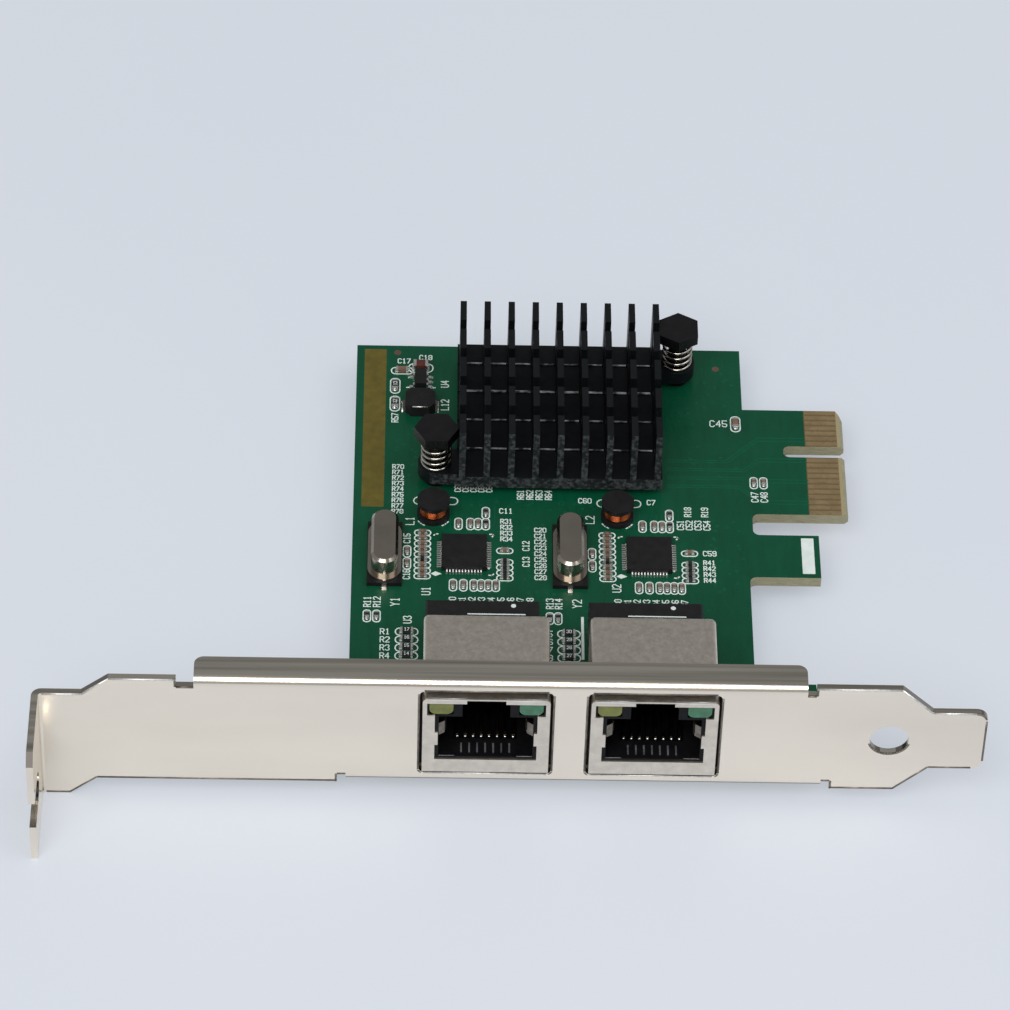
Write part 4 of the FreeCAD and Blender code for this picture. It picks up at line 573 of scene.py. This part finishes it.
# Strokes of each character, as points on a grid four wide and six high
STROKES = {
    "0": ("10 30 41 45 36 16 05 01 10",), "1": ("15 26 20", "10 30"),
    "2": ("05 16 36 45 44 00 40",), "3": ("05 16 36 45 33 42 41 30 10 01",),
    "4": ("30 36 02 42",), "5": ("46 06 03 33 42 41 30 10 01",),
    "6": ("45 36 16 05 01 10 30 41 42 33 03",), "7": ("06 46 10",),
    "8": ("13 04 05 16 36 45 44 33 13 02 01 10 30 41 42 33",),
    "9": ("01 10 30 41 45 36 16 05 04 13 43",),
    "C": ("45 36 16 05 01 10 30 41",), "R": ("00 06 36 45 44 33 03", "23 40"),
    "L": ("06 00 40",), "U": ("06 01 10 30 41 46",), "Y": ("06 23 46", "23 20"),
}


def letters(mesh, text, centre, turns, tall, low=BOARD_TOP, wide=0.14 * MM):
    """A part number in plain strokes, centred on a place and turned by quarter turns."""
    unit_x, unit_y = tall * 0.13 * MM, tall / 6 * MM
    gap = 1.6 * unit_x
    step = 4 * unit_x + gap
    start = -(len(text) * step - gap) / 2
    turn = Matrix.Rotation(turns * math.pi / 2, 2)
    count = 0
    for place, character in enumerate(text):
        for stroke in STROKES[character]:
            points = [Vector((start + place * step + int(p[0]) * unit_x, (int(p[1]) - 3) * unit_y))
                      for p in stroke.split()]
            points = [turn @ point + Vector(centre[:2]) for point in points]
            for one, following in zip(points, points[1:]):
                print_line(mesh, one, following, wide, low, print_rise(count))
                count += 1


# Part numbers in rows: letter, first number, how many, first place, step, quarter turns, height
NUMBER_ROWS = (
    ("R", 1, 4, (43.95, 24.02), (0, -1.44), 0, 0.95),
    ("R", 5, 4, (65.15, 24.02), (0, -1.44), 0, 0.95),
    ("R", 11, 2, (41.56, 29.35), (1.25, 0), 1, 0.9),
    ("R", 13, 2, (65.46, 29.45), (1.15, 0), 1, 0.9),
    ("U", 3, 1, (46.85, 26.2), (0, 0), 1, 1.0),
    ("Y", 1, 2, (45.18, 29.4), (CHANNEL_STEP / MM - 0.6, 0.1), 1, 1.15),
    ("U", 1, 2, (49.22, 31.45), (CHANNEL_STEP / MM + 0.6, 1.0), 1, 1.1),
    ("L", 1, 2, (46.98, 44.36), (CHANNEL_STEP / MM - 0.5, 0.7), 1, 1.1),
    ("C", 15, 2, (46.62, 41.1), (0, -6.65), 1, 0.85),
    ("C", 20, 9, (64.3, 43.0), (0, -1.1), 0, 0.76),
    ("R", 31, 4, (59.8, 44.55), (0, -1.1), 0, 0.76),
    ("C", 11, 1, (59.75, 46.5), (0, 0), 0, 0.85),
    ("C", 12, 2, (62.37, 40.0), (0, -2.93), 1, 0.85),
    ("R", 61, 4, (61.7, 49.6), (1.24, 0), 1, 0.85),
    ("C", 61, 5, (53.3, 50.8), (1.05, 0), 1, 0.78),
    ("R", 70, 9, (45.3, 54.62), (0, -1.06), 0, 0.74),
    ("C", 80, 9, (52.7, 29.55), (1.27, 0), 1, 0.85),
    ("R", 80, 8, (74.4, 29.55), (1.25, 0), 1, 0.85),
    ("C", 60, 1, (70.3, 48.65), (0, 0), 0, 0.85),
    ("C", 7, 1, (79.15, 48.5), (0, 0), 0, 0.85),
    ("R", 18, 2, (83.97, 46.8), (2.27, 0), 1, 0.85),
    ("C", 51, 4, (82.95, 44.32), (1.17, 0), 1, 0.85),
    ("C", 59, 1, (86.7, 39.1), (0, 0), 0, 0.85),
    ("R", 41, 4, (86.6, 37.4), (0, -1.08), 0, 0.76),
    ("C", 17, 2, (45.87, 75.25), (2.95, 0.75), 0, 0.85),
    ("R", 57, 1, (44.73, 64.04), (0, 0), 1, 0.85),
    ("U", 4, 1, (51.46, 70.8), (0, 0), 1, 1.0),
    ("L", 12, 1, (51.49, 66.7), (0, 0), 1, 1.0),
    ("C", 45, 1, (88.6, 63.85), (0, 0), 0, 1.15),
    ("C", 47, 2, (93.05, 49.82), (1.25, 0), 1, 0.9),
)


def print_numbers():
    mesh = bmesh.new()
    for letter, first, count, place, step, turns, tall in NUMBER_ROWS:
        for i in range(count):
            centre = at(place[0] + step[0] * i, place[1] + step[1] * i)
            letters(mesh, f"{letter}{first + i}", centre, turns, tall)
    piece("print_numbers", mesh, "print")


# Marks by the corners of a controller, in millimetres from the corner: a filled arrow, and hooks;
# a hook first says whether its corner is at the low or high end, in X and in Y
ARROW = ((-0.80, 0.05), (-0.15, -0.37), (0.67, 0.05), (-0.15, 0.47))
HOOKS = ((0, 1, ((-0.40, -0.05), (-0.20, 0.18), (0.10, 0.22))),
         (1, 1, ((-0.20, 0.28), (0.16, 0.28), (0.30, 0.02), (0.12, -0.18))),
         (1, 0, ((-0.30, -0.10), (0.08, -0.16), (0.30, 0.12))))


def controller_marks(mesh, number):
    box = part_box(f"phy_{number}_pads")
    on_board(mesh, [box[0] + Vector((x, y, 0)) * MM for x, y in ARROW])
    for end_x, end_y, hook in HOOKS:
        corner = Vector((box[end_x].x, box[end_y].y, 0))
        print_path(mesh, [corner + Vector((x, y, 0)) * MM for x, y in hook], MARK_WIDE)
    dot = Vector((box[1].x, box[0].y, 0)) + Vector((-0.35, 1.15, 0)) * MM
    on_board(mesh, disc(dot, radius=0.16 * MM))


def inductor_marks(mesh, number):
    """Two arcs beside a drum inductor, and a long ring behind it."""
    low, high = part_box(f"inductor_{number}_core")
    middle = (low + high) / 2
    arc_radius = 2.36 * MM
    for start in (212, 300):
        turns = [math.radians(start + step) for step in (0, 9, 18, 27)]
        print_path(mesh, [(middle.x + arc_radius * math.cos(turn), middle.y + arc_radius * math.sin(turn))
                          for turn in turns])
    behind = middle + Vector((0.28, 2.6, 0)) * MM
    outline_ring(mesh, behind, half_x=2.85 * MM, half_y=0.6 * MM, radius=0.59 * MM, rise=print_rise(1))


def print_marks():
    """The plain field on the guard ear, two bars, and the marks round the larger parts."""
    mesh = bmesh.new()
    field = at(99.73, 38.93)
    on_board(mesh, rounded(field, half_x=0.83 * MM, half_y=3.29 * MM, radius=0.1 * MM))
    print_line(mesh, at(69.7, 19.6), at(69.7, 27.0), wide=0.36 * MM)
    print_line(mesh, at(46.25, 70.02), at(50.15, 70.02))
    for number in (1, 2):
        inductor_marks(mesh, number)
        controller_marks(mesh, number)
    piece("print_marks", mesh, "print")


def resistor_numbers():
    """Small plain numbers on the tops of the larger resistors."""
    mesh = bmesh.new()
    smallest, tall, wide = 1.0 * MM, 0.5, 0.08 * MM
    for order, (low, high) in enumerate(solids("resistor_bodies")):
        size = high - low
        if max(size.x, size.y) < smallest:
            continue
        turns = 0 if size.x > size.y else 1
        letters(mesh, str(10 + order), (low + high) / 2, turns, tall, high.z - PRINT_RISE / 2, wide)
    piece("resistor_numbers", mesh, "print")


def olive_band():
    mesh = bmesh.new()
    middle = at(41.95, 62.25)
    outline = rounded(middle, half_x=1.5 * MM, half_y=15.3 * MM, radius=0.1 * MM)
    on_board(mesh, outline, rise=PRINT_RISE / 2)
    piece("olive_print_band", mesh, "band")


def transformer_marks():
    """A dot for lead one and a plain line on each transformer."""
    mesh = bmesh.new()
    rise = PRINT_RISE * 1.5
    for number, dot_x, line_x in ((1, 11.38, 5.5), (2, 10.92, 5.13)):
        low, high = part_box(f"transformer_{number}_body")
        middle = Vector((low.x, (low.y + high.y) / 2, 0))
        top = high.z - PRINT_RISE
        dot = middle + Vector((dot_x, 2.3, 0)) * MM
        prism(mesh, disc(dot, radius=0.33 * MM), top, top + rise)
        start = middle + Vector((line_x, 0.75, 0)) * MM
        print_line(mesh, start, start + Vector((7.35, 0, 0)) * MM, MARK_WIDE, top, rise)
    piece("transformer_marks", mesh, "print")


# Copper under the mask

TRACK_RISE = 0.012 * MM


def ribbon(mesh, points, width):
    """A flat track along a line of points."""
    points = [Vector((p[0], p[1])) for p in points]
    sides = []
    for i, point in enumerate(points):
        before = (point - points[i - 1]).normalized() if i else None
        after = (points[i + 1] - point).normalized() if i + 1 < len(points) else None
        heading = ((before or after) + (after or before)).normalized()
        across = Vector((-heading.y, heading.x))
        if before and after:
            across /= max(0.5, across.dot(Vector((-before.y, before.x))))
        sides.append((point + across * width / 2, point - across * width / 2))
    outline = [side[0] for side in sides] + [side[1] for side in reversed(sides)]
    on_board(mesh, outline, TRACK_RISE)


def tracks():
    """Tracks that fan out from each controller, and pairs from the bridge to the edge contacts."""
    mesh = bmesh.new()
    rng = random.Random(7)
    count, pitch, fine, fan = 12, 0.41 * MM, 0.12 * MM, 0.8
    clear, straight = 0.6 * MM, 0.5 * MM
    for number in (1, 2):
        low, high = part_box(f"phy_{number}")
        middle = (low + high) / 2
        near, far, right = low.y - clear, high.y + clear, high.x + clear
        for i in range(count):
            place = i - (count - 1) / 2
            offset = place * pitch
            x, y = middle.x + offset, middle.y + offset
            spread = offset * fan
            run = (4.0 + 0.28 * abs(place)) * MM
            ribbon(mesh, [(x, far), (x, far + straight), (x + spread, far + straight + abs(spread)),
                          (x + spread, far + run)], fine)
            run = (1.0 + 0.3 * rng.random()) * MM
            ribbon(mesh, [(x, near), (x, near - run)], fine)
            ribbon(mesh, [(right, y), (right + 0.6 * MM, y), (right + 1.4 * MM, y + offset * 0.3)], fine)
    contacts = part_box("edge_contacts_top")[0]
    start_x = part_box("heatsink")[1].x - 4 * MM
    bend_x = contacts.x - 6.5 * MM
    for pair in range(4):
        for side in (-1, 1):
            start_y = contacts.y + (5.0 + 1.6 * pair + 0.2 * side) * MM
            end_y = contacts.y + (2.2 + 4.0 * pair + 0.3 * side) * MM
            ribbon(mesh, [(start_x, start_y), (bend_x - abs(end_y - start_y), start_y), (bend_x, end_y),
                          (contacts.x, end_y)], width=0.18 * MM)
    piece("masked_tracks", mesh, "track")


# Fields of vias: left, near, width, depth and how many
VIA_FIELDS = ((62.2, 30.5, 5.5, 16.0, 34), (86.3, 31.0, 5.0, 15.0, 30), (84.5, 50.5, 6.8, 24.0, 26),
              (44.8, 50.0, 4.0, 13.0, 14), (47.0, 27.2, 40.0, 3.2, 30), (53.0, 46.8, 26.0, 1.6, 26))


def vias():
    """Small plated holes, covered by the mask."""
    mesh = bmesh.new()
    rng = random.Random(11)
    pad, hole, steps = 0.24 * MM, 0.1 * MM, 3
    for left, near, width, depth, count in VIA_FIELDS:
        for _ in range(count):
            centre = at(left + width * rng.random(), near + depth * rng.random())
            on_board(mesh, disc(centre, pad, steps), TRACK_RISE * 0.8, disc(centre, hole, steps))
    piece("masked_vias", mesh, "track")


def fiducials():
    mesh = bmesh.new()
    for x, y in ((44.96, 76.91), (88.53, 74.59)):
        on_board(mesh, disc(at(x, y), radius=0.5 * MM, steps=8))
    piece("fiducials", mesh, "bare")


def sink_scuffs():
    """Bare bright metal on the far edge of each saw cut, between the rows of fins."""
    mesh = bmesh.new()
    widths = (0.16, 0.18, 0.3, 0.16)
    clear, lap, depth, rise = 0.15 * MM, 0.02 * MM, 0.12 * MM, 0.01 * MM
    points = [v.co for v in nodes["heatsink"].data.vertices]
    base_z, fin_z = sorted({round(p.z, 5) for p in points})[-2:]
    tops = [p for p in points if abs(p.z - fin_z) < 0.01 * MM]
    far_edges = sorted({round(p.y, 5) for p in tops})[2:-1:2]
    fins = sorted({round(p.x, 5) for p in tops})
    for y, width in zip(far_edges, widths):
        near, far = y - lap, y + width * MM
        for left, right in zip(fins[1::2], fins[2::2]):
            start, end = left + clear, right - clear
            prism(mesh, [(start, near), (end, near), (end, far), (start, far)],
                  base_z - depth, base_z + rise)
    piece("sink_scuffs", mesh, "scuff")


# Solder

def fillet(mesh, low, high, axis, way, run, rise, steps=4):
    """A concave solder fillet against one face of a box, down to the board."""
    other = 1 - axis
    face = high[axis] if way > 0 else low[axis]

    def row(out, up):
        corners = []
        for side in (low[other], high[other]):
            corner = Vector((0, 0, BOARD_TOP + up))
            corner[axis] = face + way * out
            corner[other] = side
            corners.append(mesh.verts.new(corner))
        return corners

    turns = [step / steps * math.pi / 2 for step in range(steps + 1)]
    rows = [row(run * (1 - math.cos(turn)), rise * (1 - math.sin(turn))) for turn in turns]
    base = row(0, 0)
    for one, following in zip(rows, rows[1:]):
        mesh.faces.new((one[0], one[1], following[1], following[0]))
        mesh.faces.new((base[0], one[0], following[0]))
        mesh.faces.new((base[1], following[1], one[1]))
    mesh.faces.new((rows[0][1], rows[0][0], base[0], base[1]))
    mesh.faces.new((rows[-1][0], rows[-1][1], base[1], base[0]))


def chip_solder():
    """Fillets at the ends of the chip parts, the inductor's terminals and the regulator's leads."""
    mesh = bmesh.new()
    wetted = 0.7
    bodies = [(low + high) / 2 for low, high in chip_solids("bodies")]
    for low, high in chip_solids("ends"):
        middle = (low + high) / 2
        away = middle - min(bodies, key=lambda body: (body - middle).length)
        axis = 0 if abs(away.x) > abs(away.y) else 1
        way = math.copysign(1, away[axis])
        fillet(mesh, low, high, axis, way, run=0.2 * MM, rise=(high.z - BOARD_TOP) * wetted)
    for name in ("input_capacitor_ends", "power_inductor_terminals"):
        for way, (low, high) in zip((-1, 1), solids(name)):
            fillet(mesh, low, high, 0, way, run=0.25 * MM, rise=(high.z - BOARD_TOP) * wetted)
    middle = sum(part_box("regulator_body"), Vector()) / 2
    for low, high in solids("regulator_leads"):
        way = math.copysign(1, low.x + high.x - 2 * middle.x)
        fillet(mesh, low, high, 0, way, run=0.32 * MM, rise=0.22 * MM)
    piece("chip_solder", mesh, "solder", smooth=True)


def pad_solder():
    """Bright solder from each pad of the controllers up to the chip."""
    mesh = bmesh.new()
    largest, inset, run, rise = 1.5 * MM, 0.3 * MM, 0.5 * MM, 0.32 * MM
    for number in (1, 2):
        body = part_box(f"phy_{number}")
        for low, high in solids(f"phy_{number}_pads"):
            middle = (low + high) / 2
            for axis, way in ((0, -1), (0, 1), (1, -1), (1, 1)):
                edge = body[1 if way > 0 else 0][axis]
                if (middle[axis] - edge) * way > -inset and max(high - low) < largest:
                    start_low, start_high = low.copy(), high.copy()
                    start_low[axis] = start_high[axis] = edge
                    fillet(mesh, start_low, start_high, axis, way, run, rise)
    piece("pad_solder", mesh, "solder", smooth=True)


def lead_solder():
    """Solder over the feet of the transformers' leads."""
    mesh = bmesh.new()
    side, run, rise = 0.07 * MM, 0.3 * MM, 0.18 * MM
    for number in (1, 2):
        body_low, body_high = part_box(f"transformer_{number}_body")
        for low, high in solids(f"transformer_{number}_leads"):
            way = math.copysign(1, low.y + high.y - body_low.y - body_high.y)
            low.x -= side
            high.x += side
            fillet(mesh, low, high, 1, way, run, rise)
    piece("lead_solder", mesh, "solder", smooth=True)


def cone(mesh, centre, wide, narrow, low, high, segments=20, steps=4):
    """A hollow-sided solder cone that hangs under the board round a pin."""
    rings = []
    for step in range(steps + 1):
        share = step / steps
        radius = narrow + (wide - narrow) * (1 - share) ** 2
        place = Vector((centre.x, centre.y, high + (low - high) * share))
        rings.append([mesh.verts.new(place + point) for point in circle(radius, segments)])
    tube(mesh, rings)


def under_solder():
    """Cones round the jacks' pins; the shield's legs have larger ones."""
    mesh = bmesh.new()
    pin_bare = 0.35 * MM
    for number in (1, 2):
        for part in ("shield", "contacts", "lamp_yellow", "lamp_green"):
            wide, narrow = (1.15, 0.72) if part == "shield" else (0.72, 0.42)
            name = f"port_{number}_{part}"
            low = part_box(name)[0].z + pin_bare
            for foot in tails(name):
                cone(mesh, foot, wide * MM, narrow * MM, low, BOARD_BOTTOM)
    piece("under_solder", mesh, "solder", smooth=True)


# The jacks: bends, rolled edges, and what shows inside them

JACK_FRONT = at(0, 0).y
JACK_CAVITY = BOARD_TOP + 2.95 * MM
SHIELDS = [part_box(f"port_{number}_shield") for number in (1, 2)]
SHIELD_LOW, SHIELD_HIGH = SHIELDS[0]
JACK_MIDDLES = [(low.x + high.x) / 2 for low, high in SHIELDS]
JACK_SIDES = [(middle, way) for middle in JACK_MIDDLES for way in (-1, 1)]


def jack_bends():
    """The rounded bend of every contact, and the rolled edge over each lamp, in near-white metal as painted
    highlights.
    """
    bends, rolls = bmesh.new(), bmesh.new()
    front_depth, back, down = 0.1 * MM, 0.12 * MM, 0.14 * MM
    for number in (1, 2):
        for points in lumps(f"port_{number}_contacts"):
            low, high = extent(points)
            top = max(p.z for p in points if p.y < low.y + front_depth)
            bar(bends, low.x, high.x, low.y + back, top - down, radius=0.24 * MM)
    inset, start, end = 0.19 * MM, 2.5 * MM, 7.6 * MM
    for middle, way in JACK_SIDES:
        bar(rolls, middle + way * start, middle + way * end, SHIELD_LOW.y + inset,
            SHIELD_HIGH.z - inset, radius=0.22 * MM)
    piece("contact_bends", bends, "bend_highlight_gold", smooth=True)
    piece("shield_rolled_edges", rolls, "bend_highlight_steel", smooth=True)


def jack_combs():
    """A tooth between each two contacts, and a lip at both sides of the row; the lips' light grey is a
    painted highlight.
    """
    mesh = bmesh.new()
    tooth_y, tooth_top = JACK_FRONT + 1.1 * MM, JACK_CAVITY + 0.1 * MM
    for number in (1, 2):
        wires = sorted((low.x + high.x) / 2 for low, high in solids(f"port_{number}_contacts"))
        for one, other in zip(wires, wires[1:]):
            middle = ((one + other) / 2, tooth_y)
            tooth = rounded(middle, half_x=0.11 * MM, half_y=0.8 * MM, radius=0.08 * MM)
            prism(mesh, tooth, JACK_CAVITY, tooth_top)
    # The lips' light grey stands for a painted highlight on the cavity's front edge.
    start, end, lip_y, lip_z = 3.95 * MM, 5.9 * MM, JACK_FRONT - 0.24 * MM, JACK_CAVITY - 0.03 * MM
    for middle, way in JACK_SIDES:
        bar(mesh, middle + way * start, middle + way * end, lip_y, lip_z, radius=0.08 * MM)
    piece("jack_combs", mesh, "comb")


def jack_wire_way_floors():
    """The dark floor of the way in which the contacts run."""
    mesh = bmesh.new()
    for middle in JACK_MIDDLES:
        way = rounded((middle, JACK_FRONT + 7.0 * MM), half_x=4.05 * MM, half_y=4.8 * MM, radius=0.2 * MM)
        on_board(mesh, way, rise=0.05 * MM)
    piece("jack_wire_way_floors", mesh, "jack")


def jack_latch_fingers():
    """The shield's bent fingers at both sides of the latch way, drawn in millimetres, in dark steel as
    painted shade.
    """
    mesh = bmesh.new()
    path = [(5.9, -0.25), (5.2, 0.2), (5.0, 0.9), (5.2, 1.8), (5.75, 2.8)]
    thick, low, high = 0.13, BOARD_TOP + 6.8 * MM, BOARD_TOP + 8.9 * MM
    outline = path + [(x + thick, y) for x, y in reversed(path)]
    for middle, way in JACK_SIDES:
        prism(mesh, [(middle + way * x * MM, JACK_FRONT + y * MM) for x, y in outline], low, high)
    piece("jack_latch_fingers", mesh, "sheared")


def jack_gaskets():
    """Dark strips of painted shade in the gaps between the shields and the plate."""
    mesh = bmesh.new()
    out, y = 8.3 * MM, JACK_FRONT + 1.1 * MM
    low, high = BOARD_TOP + 0.1 * MM, SHIELD_HIGH.z - 0.4 * MM
    for middle, way in JACK_SIDES:
        strip = rounded((middle + way * out, y), half_x=0.27 * MM, half_y=0.07 * MM, radius=0.05 * MM)
        prism(mesh, strip, low, high)
    piece("jack_gaskets", mesh, "jack")


# Skirts, and edges with painted highlights or painted shade

def pin_collars():
    """The skirt of each spring pin, which closes its hole at the board."""
    mesh = bmesh.new()
    for name in nodes:
        if "push_pin" in name:
            middle = sum(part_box(name), Vector()) / 2
            on_board(mesh, disc(middle, 1.6 * MM, steps=8, flat=0.05 * MM), rise=0.06 * MM)
    piece("pin_collars", mesh, "pin")


def inductor_edge():
    """A painted highlight along the front top edge of the shielded inductor."""
    mesh = bmesh.new()
    inset_y, inset_z, half = 0.08 * MM, 0.06 * MM, 1.05 * MM
    low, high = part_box("power_inductor")
    middle = (low.x + high.x) / 2
    bar(mesh, middle - half, middle + half, low.y + inset_y, high.z - inset_z, radius=0.1 * MM)
    piece("inductor_edge", mesh, "highlight_metal", smooth=True)


def plate_edges():
    """Beads along the plate's front edges: painted highlights on long edges that face up, painted shade
    elsewhere.
    """
    bright, dull = bmesh.new(), bmesh.new()
    radius, front_depth = 0.15 * MM, 0.01 * MM
    sharp_angle, upward, downward = 0.5, 0.3, -0.05
    shortest, shortest_lit, shortest_bend = 1 * MM, 3 * MM, 10 * MM
    plate = welded("bracket")
    for edge in plate.edges:
        ends = [vert.co for vert in edge.verts]
        if max(abs(end.y - ORIGIN.y) for end in ends) > front_depth or len(edge.link_faces) != 2:
            continue
        length = edge.calc_length()
        other = max((face.normal for face in edge.link_faces), key=lambda normal: normal.y)
        sharp = edge.calc_face_angle(0) > sharp_angle
        if not sharp and (other.z > downward or length < shortest_bend):
            continue
        lit = sharp and other.z > upward
        if not lit and length < shortest:
            continue
        inward = Vector((0, 0.35 * radius, 0)) - other * 0.9 * radius
        # The bright beads are painted highlights, the dull ones painted shade.
        mesh = bright if lit and length > shortest_lit else dull
        bead(mesh, ends[0] + inward, ends[1] + inward, radius)
    plate.free()
    piece("plate_burnished_edges", bright, "highlight_metal", smooth=True)
    piece("plate_sheared_edges", dull, "sheared", smooth=True)


# Wire that is wound: the drum windings and the pin springs

def wound(name, replaced, wire, turns, finish, ends=0.0, per_turn=28):
    """A round wire wound in the box of a CAD node, with closed end turns where ends is given."""
    low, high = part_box(replaced)
    centre = (low + high) / 2
    radius = (high.x - low.x - wire) / 2
    rise = high.z - low.z - wire
    curve = bpy.data.curves.new(name, "CURVE")
    curve.dimensions = "3D"
    curve.bevel_depth = wire / 2
    curve.bevel_resolution = 3
    curve.use_fill_caps = True
    spline = curve.splines.new("POLY")
    count = int(turns * per_turn)
    spline.points.add(count)
    for i in range(count + 1):
        turn = i / per_turn
        share = min(1.0, max(0.0, (turn - ends) / (turns - 2 * ends)))
        angle = turn * 2 * math.pi
        spline.points[i].co = (centre.x + radius * math.cos(angle), centre.y + radius * math.sin(angle),
                               low.z + wire / 2 + rise * share, 1)
    path = add_object(name, curve)
    data = bpy.data.meshes.new_from_object(path)
    bpy.data.objects.remove(path)
    item = mount(name, data, finish, True)
    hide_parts(replaced)


def wind_all():
    for where in ("near", "far"):
        wound(f"spring_{where}", f"pin_spring_{where}", wire=0.42 * MM, turns=5.75, finish="spring",
              ends=0.75, per_turn=40)
    for number in (1, 2):
        wound(f"winding_{number}", f"inductor_{number}_winding", wire=0.24 * MM, turns=7.0,
              finish="copper")


print_rings()
print_numbers()
print_marks()
resistor_numbers()
olive_band()
transformer_marks()
sink_scuffs()
tracks()
vias()
fiducials()
chip_solder()
pad_solder()
lead_solder()
under_solder()
jack_bends()
jack_combs()
jack_wire_way_floors()
jack_latch_fingers()
jack_gaskets()
pin_collars()
inductor_edge()
plate_edges()
wind_all()


# Floor, light and camera

def floor():
    """A pale floor that keeps half of every shadow where the eye and mirrors see it."""
    mesh = bmesh.new()
    bmesh.ops.create_grid(mesh, x_segments=1, y_segments=1, size=2.5)
    data = bpy.data.meshes.new("floor")
    mesh.to_mesh(data)
    mesh.free()
    finish = Finish("pale_floor", **DULL)
    pale = finish.mottle((0.69, 0.735, 0.805), (0.73, 0.77, 0.84), 0.004)
    finish.colour(pale)
    finish.roughen(0.30, 0.38, per_mm=0.02)
    path = finish.node("ShaderNodeLightPath")
    seen = finish.calculate("MAXIMUM", path.outputs["Is Camera Ray"], path.outputs["Is Glossy Ray"])
    seen = finish.calculate("MAXIMUM", seen, path.outputs["Is Transmission Ray"])
    share = finish.span(seen, 0, 0.5, 0, 1)
    glow = finish.node("ShaderNodeEmission")
    finish.join(pale, glow, "Color")
    mix = finish.node("ShaderNodeMixShader")
    finish.join(share, mix, 0)
    finish.join(finish.shader.outputs[0], mix, 1)
    finish.join(glow.outputs[0], mix, 2)
    finish.join(mix.outputs[0], finish.nodes["Material Output"], "Surface")
    data.materials.append(finish.material)
    add_object("floor", data)


def area_light(name, place, size, power, colour):
    """A rectangular light turned to the middle of the frame."""
    light = bpy.data.lights.new(name, "AREA")
    light.shape = "RECTANGLE"
    light.size, light.size_y = size
    light.energy = power
    light.color = colour
    item = add_object(name, light)
    item.location = place
    item.rotation_mode = "QUATERNION"
    item.rotation_quaternion = (-Vector(place)).to_track_quat("-Z", "Y")


def world_light():
    """A plain room: even all round, and dimmer high up behind the card."""
    world = bpy.data.worlds.new("studio")
    bpy.context.scene.world = world
    world.use_nodes = True
    parts, links = world.node_tree.nodes, world.node_tree.links
    background = parts["Background"]
    background.inputs["Color"].default_value = (0.97, 0.98, 1.0, 1)
    direction = parts.new("ShaderNodeTexCoord").outputs["Generated"]
    high_behind = parts.new("ShaderNodeVectorMath")
    high_behind.operation = "DOT_PRODUCT"
    links.new(direction, high_behind.inputs[0])
    high_behind.inputs[1].default_value = (0, 0.707, 0.707)
    strength = parts.new("ShaderNodeMapRange")
    links.new(high_behind.outputs["Value"], strength.inputs["Value"])
    for name, value in (("From Min", 0.3), ("From Max", 0.95), ("To Min", 0.38), ("To Max", 0.255)):
        strength.inputs[name].default_value = value
    links.new(strength.outputs["Result"], background.inputs["Strength"])


def camera():
    """The photograph's own view, from its fitted direction, distance and roll."""
    azimuth, elevation, roll = (math.radians(a) for a in (1.474, 44.957, -1.932))
    focal_pixels, image_width, sensor = 5202, 1010, 36
    eye = at(47.0, -443.1, 495.5)
    forward = Vector((math.sin(azimuth) * math.cos(elevation),
                      math.cos(azimuth) * math.cos(elevation), -math.sin(elevation)))
    level = Vector((math.cos(azimuth), -math.sin(azimuth), 0))
    down = forward.cross(level)
    right = level * math.cos(roll) + down * math.sin(roll)
    up = level * math.sin(roll) - down * math.cos(roll)
    data = bpy.data.cameras.new("photo_camera")
    data.sensor_width = sensor
    data.lens = focal_pixels * sensor / image_width
    data.clip_start, data.clip_end = 0.02, 20
    item = add_object("photo_camera", data)
    turn = Matrix((right, up, -forward)).transposed()
    item.matrix_world = Matrix.Translation(eye) @ turn.to_4x4()
    bpy.context.scene.camera = item


floor()
area_light("key", place=(-0.35, -0.95, 1.25), size=(1.2, 1.0), power=16, colour=(1.0, 0.99, 0.97))
area_light("fill", place=(0.8, -0.3, 1.2), size=(1.0, 1.0), power=5, colour=(0.97, 0.98, 1.0))
world_light()
camera()
bpy.context.scene.view_settings.view_transform = "Standard"
